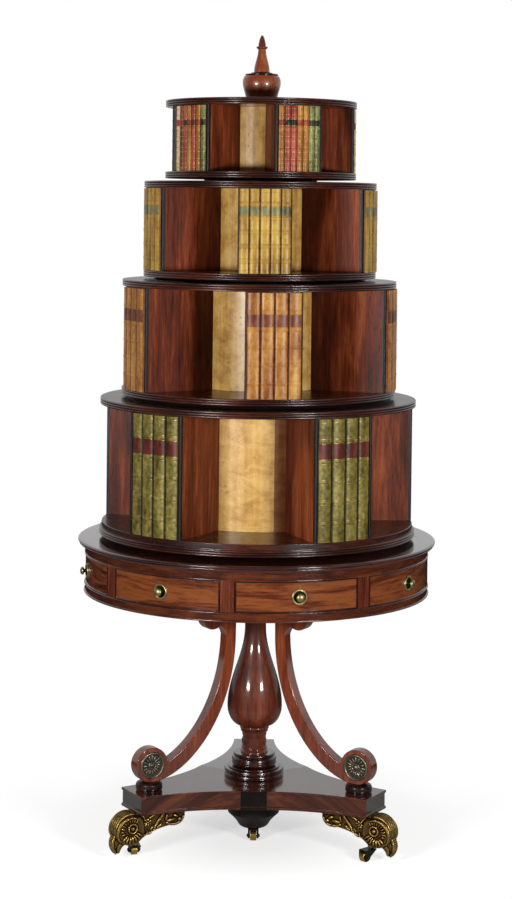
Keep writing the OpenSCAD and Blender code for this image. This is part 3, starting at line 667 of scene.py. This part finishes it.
def front(name, half, z0, z1):
    """A curved front with its bead, in the middle of +X."""
    low, high = z0 + bead_h, z1 - bead_h
    panel = [(rail_in, low), (panel_r, low), (panel_r, high), (rail_in, high)]
    parts = [swept(name, panel, bead_deg - half, half - bead_deg, 40)]
    for low, high in ((z0, z0 + bead_h), (z1 - bead_h, z1)):
        nosing = arc(panel_r + 0.2, (low + high) / 2, 1.7, 1.5, -90, 90, 6)
        parts.append(swept("bead", [(rail_in, low)] + nosing + [(rail_in, high)], -half, half, 40))
    upright_bead = [(rail_in, z0 + 2), (frieze_r, z0 + 2), (frieze_r, z1 - 2), (rail_in, z1 - 2)]
    for start in (-half, half - bead_deg):
        parts.append(softened(swept("bead", upright_bead, start, start + bead_deg, 1), 1.2, 3))
    return smoothed(joined(parts))


def bead_or_panel(middle, normal):
    """Figured wood inside the bead; dark wood, as painted shade, on the bead and the edges."""
    return 0 if abs(math.hypot(middle.x, middle.y) - panel_r + 0.1) < 0.2 and abs(normal.z) < 0.1 else 1


def drawer_box(back_x, front_r, z, wall):
    """A bottom, two sides and a back; the front closes it."""
    half, inner = drawer_half_w, drawer_half_w - wall
    corner_x = math.sqrt(front_r ** 2 - half ** 2)
    round_front = [(math.sqrt(front_r ** 2 - y * y), y, z) for y in range(-half, half + 1, 8)]
    bottom = [(back_x, -half, z)] + round_front + [(corner_x, half, z), (back_x, half, z)]
    parts = [board("box", bottom, (0, 0, 6))]
    for low, high in ((-half, -inner), (inner, half)):
        parts.append(slab("side", back_x, 370, low, high, z + 6, 52))
    parts.append(slab("back", back_x, back_x + wall, -inner, inner, z + 6, 50))
    return softened(joined(parts), 0.8)


front_piece = front("front", 20.12, front_z0 + 0.3, front_z1 - 0.3)
box = drawer_box(140, 394, 632, 10)
blanks = []
for k in range(4):
    turn, body = drawer_turn + 90 * k, f"drawer_{k + 1}"
    drawer = turned_to(copied(front_piece, f"{body}_front"), turn)
    inside = turned_to(copied(box, f"{body}_box"), turn)
    blanks.append(turned_to(copied(front_piece, "blank"), turn + 45))
    finished(drawer, body, [figured, bead_painted_shade_wood], [body], bead_or_panel)
    finished(inside, body, [drawer_wood], [body])
blanks = joined(blanks, "blank_fronts_veneered")
finished(blanks, "stand", [figured, bead_painted_shade_wood], ["blank_fronts"], bead_or_panel)
cleared(front_piece, box)


# Pulls
# Turned brass knobs on dished round plates, one in the middle of each front.
bright_brass = cast_brass("turned_brass", "c0b37c", "34301e", 0.34, 0.45, worn_above=0.54)
pull = turned("pull", [(0, -0.4), (17.6, -0.4), (18, 0.6), (17.7, 2)] + arc(15.4, 2, 2.2, 2, 20, 170, 6)
              + [(12.8, 1.4), (11.5, 0.6), (6, 0.6), (4.4, 2.2), (4, 5.5), (4.4, 8), (6.2, 10)]
              + arc(0, 12.6, 9.6, 5.4, -40, 90, 10), 48, 40)
placed(pull, panel_r - 0.1, 0, 663, 90, "Y")
blanks = []
for k in range(4):
    turn, body = drawer_turn + 90 * k, f"drawer_{k + 1}"
    knob = turned_to(copied(pull, f"{body}_pull_turned"), turn)
    finished(knob, body, [bright_brass], [f"{body}_pull"])
    blanks.append(turned_to(copied(pull, "knob"), turn + 45))
finished(joined(blanks, "blank_pulls_turned"), "stand", [bright_brass], ["blank_pulls"])
cleared(pull)


# Spindle and bearing discs
# A turned steel spindle stands in the table and runs up through every tier. Each
# tier turns on a plain wooden disc, coloured near black, that is fixed to the spindle.
tree, shader, turned_steel = polished("turned_steel", Metallic=1.0, Roughness=0.3)
rings = noise(tree, along(tree, (8, 8, 900)), detail=3.0)
surfaced(tree, shader, blend(tree, rings, tone("6b6966"), tone("a9a6a0")), None, rings, 0.15, 0.3)
refinished("spindle", turned_steel)
near_black_wood = wood("near_black_disc", "070506 130d0d 1d1513", (3, 30, 30), gloss=0.55, coat=0.0)
tier_r = [380, 330, 280, 230]
base_z = [745, 1079.5, 1361.5, 1596.5]
bearings = []
for r, z0, z1 in zip((230, 200, 170, 136), (734, 1071.8, 1354.8, 1589.8), base_z):
    under_tier = z1 - 0.3
    bearing = [(bore_r, z0), (r - 1, z0), (r, z0 + 1), (r, under_tier - 1), (r - 1, under_tier)]
    bearings.append(turned("bearing", bearing + [(bore_r, under_tier), (bore_r, z0)], 128))
finished(joined(bearings, "bearing_discs_near_black"), "stand", [near_black_wood], ["bearing_discs"])


# Tier discs
# Each tier has a mahogany disc below and one above, bored for the spindle, with
# three reeds turned on the edge. The lowest disc has a plain step on it.
disc_wood = wood("disc_veneer", "140704 341509 562812", (3, 30, 30), gloss=0.24, coat=0.15, depth=0.03,
                 shine=0.4)
reed_wood = wood("reed_wood", "120705 34130b 5a2615", (2, 2, 40), True, 0.26, 0.4, 0.03)
plain_wood = wood("unpolished_disc", "120a08 24130f 351c15", (3, 30, 30), gloss=0.6, coat=0.0)
books_z = [774.5, 1095.5, 1377.5, 1612.5]
clear_h = [281, 243, 196, 154.5]
tier_bore_r, disc_t = 14.1, 16
for k in range(4):
    r, body = tier_r[k], f"tier_{k + 1}"
    for part, z in (("base", base_z[k]), ("cap", books_z[k] + clear_h[k])):
        outline = [(tier_bore_r, z), (r - 2.7, z)] + reeds(r, z, z + disc_t, 3, 2.6)
        if part == "base" and k == 0:
            step_top = books_z[0] - 1.2
            outline += [(r - 6, z + disc_t), (r - 6, step_top)] + arc(r - 7.2, step_top, 1.2, 1.2, 0, 90, 4)
        high = outline[-1][1]
        polished_from = tier_r[min(k + 1, 3)] - 25 if part == "cap" and k < 3 else 0
        outline += [(r - 7.5, high), (max(polished_from, 60), high), (tier_bore_r, high), (tier_bore_r, z)]
        disc = turned(f"{body}_{part}_disc", outline, 192)

        def which_wood(middle, normal):
            if normal.z > 0.95:
                return 0 if math.hypot(middle.x, middle.y) > polished_from else 2
            return 2 if normal.z < -0.95 and part == "base" else 1
        finished(disc, body, [disc_wood, reed_wood, plain_wood], [f"{body}_{part}"],
                 which_wood)


# Drums
# The drum in the middle of each tier is a coopered cylinder veneered with satinwood
# burl: golden, clouded, with small dark eyes. On the lowest, a strip beside the right-hand panel of the front
# compartment is coloured darker.
def satin_burl(name, tones):
    tree, shader, made = polished(name, Coat_Weight=0.15, Coat_Roughness=0.25)
    clouds = noise(tree, along(tree, (4, 4, 30), True), 1.0, 6.0, 0.62, 0.5)
    stripes = noise(tree, along(tree, (9, 9, 3), True), 1.0, 4.0)
    fine = noise(tree, along(tree, (60, 60, 420), True), 1.0, 3.0)
    eyes = add_node(tree, "TexVoronoi", {"feature": "F1"}, Vector=along(tree, (11, 11, 80), True), Scale=1.0)
    clusters = ranged(tree, noise(tree, along(tree, (6, 6, 26), True)), 0.5, 0.66)
    eyes = calc(tree, "MULTIPLY", ranged(tree, eyes.outputs["Distance"], 0.3, 0.08), clusters)
    mixed = calc(tree, "MULTIPLY_ADD", stripes, 0.35, calc(tree, "MULTIPLY", clouds, 0.5))
    clear = ramp(tree, calc(tree, "MULTIPLY_ADD", fine, 0.15, mixed), (0.36, 0.5, 0.62), tones)
    spotted = blend(tree, calc(tree, "MULTIPLY", eyes, 0.75), clear, tone("6e4420"))
    surfaced(tree, shader, spotted, calc(tree, "MULTIPLY_ADD", fine, 0.2, 0.32),
             calc(tree, "MULTIPLY_ADD", eyes, -0.5, fine), 0.06, 0.5)
    return made


satinwood = satin_burl("satinwood_burl", "9a6c2c cc9d50 e4be74")
dark_strip = satin_burl("burl_dark_strip", "5c3414 7c4a24 94602f")
drum_r, drum_t = [200, 138, 115, 98], 14
for k in range(4):
    r, z0, z1 = drum_r[k], books_z[k], books_z[k] + clear_h[k]
    wall = [(r - drum_t, z0), (r - 0.6, z0), (r, z0 + 0.6), (r, z1 - 0.6), (r - 0.6, z1), (r - drum_t, z1)]
    drum = turned(f"tier_{k + 1}_drum_veneered", wall + [wall[0]], 128, 60)

    # A strip of the lowest drum, 12.6 to 22 degrees right of the front, is coloured darker.
    def which_strip(middle, normal):
        return 1 if k == 0 and 12.6 < math.degrees(math.atan2(middle.x, -middle.y)) < 22 else 0
    finished(drum, f"tier_{k + 1}", [satinwood, dark_strip], [f"tier_{k + 1}_drum"], which_strip)


# Divider panels
# Two upright mahogany boards close each divider. They run out from the drum almost
# to the rim, where each ends in a rounded lipping that is stained black. Their veneer
# is painted darker towards the drum as painted shade, most of all on the two tiers in the middle.
painted_shade_near_drum = [0.7, 0.3, 0.36, 0.8]


def shaded_panel_veneer(k):
    made = wood(f"shaded_panel_veneer_{k + 1}", "1e0805 6e2d15 ac582e", (16, 16, 2.4), gloss=0.45, coat=0.0,
                depth=0.04, shine=0.2)
    tree = made.node_tree
    colour = tree.nodes["Principled BSDF"].inputs["Base Color"]
    # Painted shade: the veneer's colour is multiplied darker from here in to the drum.
    painted_shade_ends = 0.4 * drum_r[k] + 0.6 * tier_r[k]
    deep = ranged(tree, from_axis(tree)[1], drum_r[k] * MM, painted_shade_ends * MM, painted_shade_near_drum[k], smooth=True)
    tree.links.new(blend(tree, 1.0, colour.links[0].from_socket, deep, "MULTIPLY"), colour)
    return made


black_edge = wood("stained_edge", "070506 130d0e 1e1615", (40, 40, 5), gloss=0.4, coat=0.0, shine=0.3)
divider_turn = [32.3, 6.1, 2.3, 23.6]
divider_deg = [22, 21, 23.2, 27]
panel_t, lipping = 7.5, 8
for k in range(4):
    z, out = books_z[k], tier_r[k] - 5.5
    plan = [(drum_r[k], 0, z), (out - lipping, 0, z)]
    plan += [(x, y + panel_t / 2, z) for x, y in arc(out - 2.4, 0, 2.4, 3.7, -90, 90, 8)]
    plan += [(out - lipping, panel_t, z), (math.sqrt(drum_r[k] ** 2 - panel_t ** 2), panel_t, z)]
    panel = smoothed(board("panel", plan, (0, 0, clear_h[k])))
    panel.data.materials.append(shaded_panel_veneer(k))
    panel.data.materials.append(black_edge)
    for face in panel.data.polygons:
        face.material_index = 1 if face.center.x > (out - lipping) * MM else 0
    pair = [panel, mirrored(panel)]
    for piece, side in zip(pair, (1, -1)):
        turned_to(piece, side * divider_deg[k] / 2 + divider_turn[k])
    panels = ringed(joined(pair), 5, f"tier_{k + 1}_panels_veneered")
    finished(panels, f"tier_{k + 1}", [], [f"tier_{k + 1}_panels"])


# Book backs
# Between the two panels of a divider stands a row of false books: rounded leather
# backs with raised bands, a title label and gilt rules, glued to a curved board.
def leather(name, tones, gloss=0.34, mottle=0.5):
    """Old book leather, mottled and rubbed lighter on what stands out."""
    tree, shader, made = polished(name, Specular_IOR_Level=0.26)
    spots = noise(tree, spot(tree), 95.0, 6.0, 0.7)
    worn = noise(tree, along(tree, (30, 30, 9)), 1.0, 4.0, 0.6)
    grain = add_node(tree, "TexVoronoi", {"feature": "DISTANCE_TO_EDGE"}, Vector=spot(tree), Scale=900.0)
    mixed = calc(tree, "MULTIPLY_ADD", spots, mottle, calc(tree, "MULTIPLY", worn, 1 - mottle))
    ridge = ranged(tree, add_node(tree, "NewGeometry").outputs["Pointiness"], 0.52, 0.62, 0.0, 0.4)
    rubbed = blend(tree, ridge, ramp(tree, mixed, (0.38, 0.5, 0.62), tones), tone(tones[-6:]))
    surfaced(tree, shader, rubbed, calc(tree, "MULTIPLY_ADD", spots, 0.3, gloss - 0.15),
             ranged(tree, grain.outputs["Distance"], 0.0, 0.25), 0.12, 0.2)
    return made


green = leather("green_calf", "403710 6e632a 98894a", 0.36)
tan = leather("tan_calf", "783f16 a0682c c08e42", 0.34, 0.3)
vellum = leather("pale_vellum", "7c5814 a47e2a be9c40", 0.32, 0.3)
faded_rule = leather("faded_rule", "7a4c22 976632 ac7c42", 0.4)
red = leather("red_morocco", "6e2a20 9c4136 b8594a", 0.3, 0.3)
brown = leather("brown_calf", "3f2113 6b3c20 8c5530")
cream = leather("cream_calf", "b08c50 d2b47c e4cfa0", 0.3, 0.3)
olive = leather("olive_calf", "3d4022 6d7442 969a62", 0.3)
# The sides of each back, where it turns into the groove, take a darker leather: dirt in the groove and painted
# shade of the rounding.
dirt_and_shade_sides = [leather(f"{name}_dirt_and_shade", tones, 0.5) for name, tones in (
    ("green", "181808 302c12 4a4420"), ("tan", "3a1a0a 603416 7c4c22"),
    ("vellum", "44260c 68401a 8a5e26"), ("mixed", "1c0f08 3c2410 6a4420"))]
label_maroon = leather("maroon_label", "3a140f 57231a 73382a", 0.36, 0.3)
label_brown = leather("brown_label", "42190e 67341e 8a5434", 0.36, 0.3)
label_green = leather("dark_green_label", "11140c 24291a 3a3f2c", 0.26, 0.3)
label_grey = leather("grey_green_label", "3e3e1e 6e6c40 969262", 0.36, 0.3)
label_red = leather("red_label", "62200f 8c3422 a84c32", 0.26, 0.3)
tree, shader, gilt = polished("gilt_rule", Metallic=0.85, Roughness=0.32)
tree.links.new(blend(tree, noise(tree, spot(tree), 260.0, 4.0), tone("7a5c2c"), tone("c8a65c")),
               shader.inputs["Base Color"])

spine_n, spine_set, spine_round = [4, 4, 5, 7], [4, -2, -2, 2], [5, 4.5, 3.5, 2.5]
row_deg = [22, 22.4, 25, 27]
# How far a face turns sideways before it takes the darker leather of dirt and painted shade.
dirt_and_shade_from = [0.84, 0.8, 0.8, 0.6]
spine_depth, groove_d, band_half, rule_half, rule_off = 18, 2, 1.4, 0.5, 5.2
tan_red, red_green, olive_green = (tan, label_red), (red, label_green), (olive, label_green)
brown_red, cream_red = (brown, label_red), (cream, label_red)
bindings = [
    [[(green, label_maroon)] * 4],
    [[(tan, label_brown)] * 4],
    [[(vellum, label_grey)] * 5],
    [[tan_red, red_green, red_green, tan_red, tan_red, olive_green, olive_green],
     [cream_red, brown_red, red_green, tan_red, (red, label_maroon), tan_red, olive_green],
     [brown_red, (tan, label_maroon), cream_red, red_green, (green, label_red), (olive, label_maroon),
      tan_red]],
]


def book_back(k):
    """One book back of a tier, in the middle of +X, with its bands and rules."""
    face_r = tier_r[k] - spine_set[k]
    step = math.radians(row_deg[k] / spine_n[k])
    half = face_r * math.sin(step / 2) - 0.35
    z0, high = books_z[k] + 0.2, clear_h[k] - 1.8
    deep = spine_round[k] + groove_d
    back_x = face_r - deep - 1
    front_line = [(x, y, z0) for x, y in arc(face_r - deep, 0, deep, half, -90, 90, 16)]
    piece = board("book", [(back_x, -half, z0)] + front_line + [(back_x, half, z0)], (0, 0, high))
    softened(piece, 1.3, 3, 60)
    bands = [z0 + high * (1 - f) for f in (0.18, 0.345, 0.51, 0.675, 0.85)]
    rules = [z + side * rule_off for z in bands for side in (-1, 1)] + [z0 + 8, z0 + high - 8]
    cut_across(piece, [z + d for z in bands for d in (-3, -band_half, band_half, 3)]
               + [z + d for z in rules for d in (-rule_half, rule_half)])
    pick_faces(piece, lambda middle, normal:
               normal.x > 0.5 and any(abs(middle.z - z) < band_half for z in bands))
    bpy.ops.transform.shrink_fatten(value=0.0006)
    bpy.ops.object.mode_set(mode="OBJECT")
    smoothed(piece, 45)
    for slot in range(4):
        piece.data.materials.append(gilt)
    # Faces turned sideways into the groove take slot 3, the darker leather of dirt and painted shade.
    for face in piece.data.polygons:
        z, outside = face.center.z / MM, face.normal.x > dirt_and_shade_from[k]
        if outside and any(abs(z - rule) < rule_half for rule in rules):
            face.material_index = 2
        elif outside and bands[1] + rule_off + rule_half < z < bands[0] - rule_off - rule_half:
            face.material_index = 1
        else:
            face.material_index = 0 if outside or abs(face.normal.z) > 0.5 else 3
    return piece


board_wood = wood("book_board", "120b08 24150e 3a2416", (30, 30, 3), gloss=0.4, coat=0.0)
for k in range(4):
    sample = book_back(k)
    face_r = tier_r[k] - spine_set[k]
    front_r, back_r = face_r - spine_round[k] - groove_d, face_r - spine_depth
    half = divider_deg[k] / 2
    edge = arc(0, 0, front_r, front_r, -half, half, 24) + arc(0, 0, back_r, back_r, half, -half, 24)
    backing = smoothed(board("backing", [(x, y, books_z[k]) for x, y in edge], (0, 0, clear_h[k])))
    backing.data.materials.append(board_wood)
    rows = []
    for n in range(5):
        row = [copied(backing, "row")]
        for b in range(spine_n[k]):
            book = copied(sample, "book", row_deg[k] * ((b + 0.5) / spine_n[k] - 0.5))
            cover, label = bindings[k][n % len(bindings[k])][b]
            for slot, finish in enumerate((cover, label, faded_rule if k in (1, 2) else gilt, dirt_and_shade_sides[k])):
                book.data.materials[slot] = finish
            row.append(book)
        rows.append(turned_to(joined(row), divider_turn[k] + 72 * n))
    cleared(sample, backing)
    rows = joined(rows, f"tier_{k + 1}_book_backs")
    finished(rows, f"tier_{k + 1}", [], [f"tier_{k + 1}_spines"])


# Finial
# A squat urn of pale mahogany with a dark rim, screwed on top of the spindle, and a
# turned spire on it with a small collar under its point.
cap_top, spindle_top, urn_top = 1783.3, 1813, 1850
urn_wood = wood("urn_wood", "541f0e 964a24 c07840", (14, 14, 5), gloss=0.3, coat=0.9)
tip_wood = wood("spire_tip_wood", "3a100c 7c322a a0524a", (14, 14, 5), gloss=0.3, coat=0.5)
urn = [(bore_r, cap_top), (38.6, cap_top)] + arc(38.6, 1786, 1.6, 2.6, -90, 90, 6) + [(38.2, 1789)]
urn += ease(38.2, 1789, 46, 1829, 14) + arc(39, 1829, 7, 16, 0, 74, 12) + [(39.6, 1845.2)]
urn += arc(38.4, 1847.4, 1.8, 2.2, -70, 90, 7) + [(30, 1849.2), (26, urn_top), (0, urn_top)]
urn += [(0, spindle_top), (bore_r, spindle_top), (bore_r, cap_top)]
urn = turned("finial_urn_turned", urn, 96, 40)
finished(urn, "stand", [urn_wood, dark_turned], ["finial_urn"],
         lambda middle, normal: 1 if middle.z > 1845.4 or middle.z < 1788.8 else 0)
spire = [(0, urn_top), (25.4, urn_top)] + arc(24.4, 1851.4, 1.6, 1.4, -90, 90, 6) + [(21, 1853)]
spire += ease(19, 1854.5, 9.4, 1909, 18) + arc(9.6, 1911, 2.4, 1.5, -90, 60, 5)
spire += arc(9.6, 1913.6, 4.4, 2.2, -80, 80, 8) + [(9.8, 1916.4), (8.4, 1917.2)]
spire += arc(7.4, 1919.5, 1.8, 2, -60, 40, 4) + [(8.2, 1924), (6.6, 1932), (4.2, 1938.5)]
spire += [(2, 1942), (0, 1942.9)]
spire = turned("finial_spire_turned", spire, 72, 40)
finished(spire, "stand", [urn_wood, tip_wood], ["finial_spire"],
         lambda middle, normal: 1 if middle.z > 1908 or middle.z < 1854 else 0)


# Brass feet
# Three heavy brass feet, cast with leaves, scrolls and a rosette, and screwed under
# the arms of the platform. Each is bored from below for the pin of its caster.
def strung(points, sizes, y, steps=12):
    """Lumps strung along a curve of radius and height, from one size to another."""
    made = []
    for k in range(steps + 1):
        at = curve_point(points, k / steps)
        size = sizes[0] + (sizes[1] - sizes[0]) * k / steps
        made.append(lump(at.x, y, at.y, size, size, size))
    return made


def fanned(x, z, y, reach, sizes, turns):
    """Lumps that point away from a middle, one for each turn."""
    made = []
    for turn in turns:
        a = math.radians(turn)
        made.append(lump(x + reach * math.cos(a), y, z + reach * math.sin(a), *sizes, tilt=turn))
    return made


def dotted(points, y, *sizes):
    """A lump of one size at each point."""
    return [lump(x, y, z, *sizes) for x, z in points]


foot_t, caster_out, pin_r = 28, 320, 4.6
sole = [curve_point([(196, 86), (204, 58), (278, 78), (318, 38)], k / 16) for k in range(17)]
side_view = [(195, 110.8), (332, 110.8), (343, 71)] + [(p.x, p.y) for p in reversed(sole)]
head = turned("head", [(0, -21)] + arc(30, -14, 7, 7, -90, 0, 6) + arc(30, 14, 7, 7, 0, 90, 6) + [(0, 21)], 64)
stem = turned("stem", [(0, 31), (8, 31), (8, 56), (0, 56)], 32)
parts = [board("foot", [(x, -foot_t / 2, z) for x, z in side_view], (0, foot_t, 0)),
         placed(head, 341, 0, 71.5, 90), placed(stem, caster_out, 0, 0)]
parts += strung([(360, 54), (377, 46), (377, 30), (370, 20)], (14, 5), 0)
for y in (-5, 5):
    parts += strung([(352, 46), (364, 40), (368, 28), (367, 21)], (11, 4.5), y, 10)
for y in (-9, 0, 9):
    parts += strung([(370, 66), (387, 48), (385, 32), (374, 18)], (4.4, 2.6), y * 0.8)
for y in (-16, -8, 0, 8, 16):
    parts += dotted(arc(341, 71.5, 35.6, 35.6, 102, -33, 45), y, 3.6, 3.5, 3.6)
for side in (-1, 1):
    for k, (x, z) in enumerate(arc(341, 67, 35, 33, 118, -32, 25)):
        size = 4.8 - 2.9 * abs(78 - 6 * k) / 80
        parts.append(lump(x, side * 22, z, size, size, size))
    parts += dotted(arc(337, 75, 11, 10.5, 0, 340, 17), side * 21.5, 2.5, 3.2, 2.5)
    parts.append(lump(337, side * 20.5, 75, 5.4, 5, 5.4))
    parts += fanned(339, 71, side * 20, 23, (6.5, 2.7, 2.1), range(-20, 125, 16))
    parts += fanned(340, 72, side * 19.5, 24, (9.5, 6, 3.2), range(-148, -30, 17))
    parts += fanned(297, 83, side * 16.5, 6.2, (4.6, 3.4, 2.3), range(0, 360, 51))
    parts.append(lump(297, side * 17.5, 83, 2.9, 3.4, 2.9))
    parts += dotted(arc(303, 60, 6.5, 6.5, -200, 64, 11), side * 14.5, 2.4, 4, 2.4)
    parts += strung([(251, 107), (254, 92), (270, 84), (279, 63)], (3.8, 3.2), side * 14.5, 14)
    parts += strung([(262, 107), (270, 96), (282, 98), (289, 92)], (2.6, 3.2), side * 14, 10)
    parts += strung([(305, 94), (314, 106), (326, 108), (334, 103)], (2.4, 3.0), side * 16, 10)
    parts += strung([(244, 74), (230, 66), (206, 66), (201, 84)], (3.6, 4.2), side * 13, 14)
    parts += strung([(244, 100), (232, 106), (214, 104), (205, 96)], (2.0, 3.4), side * 13.5, 10)
    for x, z, long, high, tilt in (
            (234, 80, 13, 5, -6), (220, 88, 9, 4, 24), (211, 79, 6, 5, 50), (264, 71, 10, 3.2, -42),
            (284, 68, 8, 3, -58), (288, 58, 9, 4, -36), (316, 54, 9, 3.2, -60), (309, 74, 8, 2.6, -72),
            (246, 88, 3.4, 9, 12), (272, 103, 7, 3, -10)):
        parts.append(lump(x, side * 13, z, long, 5, high, tilt))
foot = joined(parts)
foot.data.remesh_voxel_size = 0.0012
bpy.ops.object.voxel_remesh()
bpy.ops.mesh.primitive_cylinder_add(
    vertices=32, radius=pin_r * MM, depth=0.0303, location=(caster_out * MM, 0, 0.04515))
bore = bpy.context.object
choose(foot)
worked(foot, "SMOOTH", factor=0.35, iterations=1)
worked(foot, "BOOLEAN", object=bore, operation="DIFFERENCE")
cleared(bore)
bpy.ops.object.shade_smooth_by_angle(angle=math.radians(60))
foot_brass = cast_brass("foot_brass", "ecc670", "2a120c", 0.24, 1.0, 700.0, 0.552, 0.06, 150.0)
for k, turn in enumerate(leg_turns):
    piece = turned_to(copied(foot, f"brass_foot_{k + 1}_cast"), turn)
    finished(piece, "stand", [foot_brass], [f"brass_foot_{k + 1}"])
cleared(foot)


# Casters
# Iron forks with a pin that turns in the foot, or in the boss for the fourth, and
# brass wheels with dished sides on an axle that is riveted over.
tree, shader, dark_iron = polished("dark_iron", Metallic=0.85)
forged = noise(tree, spot(tree), 240.0, 5.0)
surfaced(tree, shader, blend(tree, forged, tone("151312"), tone("46403a")),
         calc(tree, "MULTIPLY_ADD", forged, 0.3, 0.26), forged, 0.25, 0.4)
caster_brass = cast_brass("caster_brass", "d0ab58", "4a3614", 0.24, 0.4)
trail, axle_z, fork_top, wheel_r = 21, 12, 25.1, 12
pin = [(0, fork_top), (10.9, fork_top), (12, 26.1), (12, 27.1), (11.2, 27.9), (6.2, 28), (5.6, 29.6)]
pin += [(4.5, 30), (4.5, 58.9), (3.7, 59.7), (0, 59.7)]
fork = [turned("fork", pin, 48, 30), softened(slab("bridge", -6, 28, -13, 13, fork_top, 2.8), 1.2, 3)]
for side in (-1, 1):
    outline = [(-6, 26.5), (28, 26.5)] + arc(trail, axle_z, 7, 7, 0, -180, 14)
    cheek = board("cheek", [(x, side * 8, z) for x, z in outline], (0, side * 5, 0))
    fork.append(softened(cheek, 0.9, 3))
    rivet = [(0, 7), (2, 7), (2, 12.8), (4, 12.8), (4, 14.2)] + arc(0, 14.2, 4, 1.8, 0, 90, 6)
    rivet = turned("rivet", rivet, 32)
    fork.append(placed(rivet, trail, 0, axle_z, -90 * side))
fork = joined(fork)
tread = [(2.1, -7.5), (4.2, -7.5), (4.8, -6.3), (8.6, -5.6), (9.6, -6.4), (10.2, -7.5)]
tread += arc(wheel_r - 1.5, -6, 1.5, 1.5, -90, 0, 5)
wheel = turned("wheel", tread + [(r, -z) for r, z in reversed(tread)] + [(2.1, -7.5)], 48, 40)
placed(wheel, trail, 0, axle_z, 90)
kinds = ((fork, "fork", "dark_iron", dark_iron), (wheel, "wheel", "brass", caster_brass))
for k, (out, turn, heading) in enumerate((
        (caster_out, 60, -48), (caster_out, -60, 192), (caster_out, 180, 150), (0, 0, 0))):
    a = math.radians(turn - 90)
    for piece, name, slot, finish in kinds:
        extra = copied(piece, f"caster_{name}_{k + 1}_made")
        placed(extra, out * math.cos(a), out * math.sin(a), 0, heading - 90, "Z")
        finished(extra, f"{name}_{k + 1}", [finish], [f"caster_{name}_{k + 1}"])
cleared(fork, wheel)
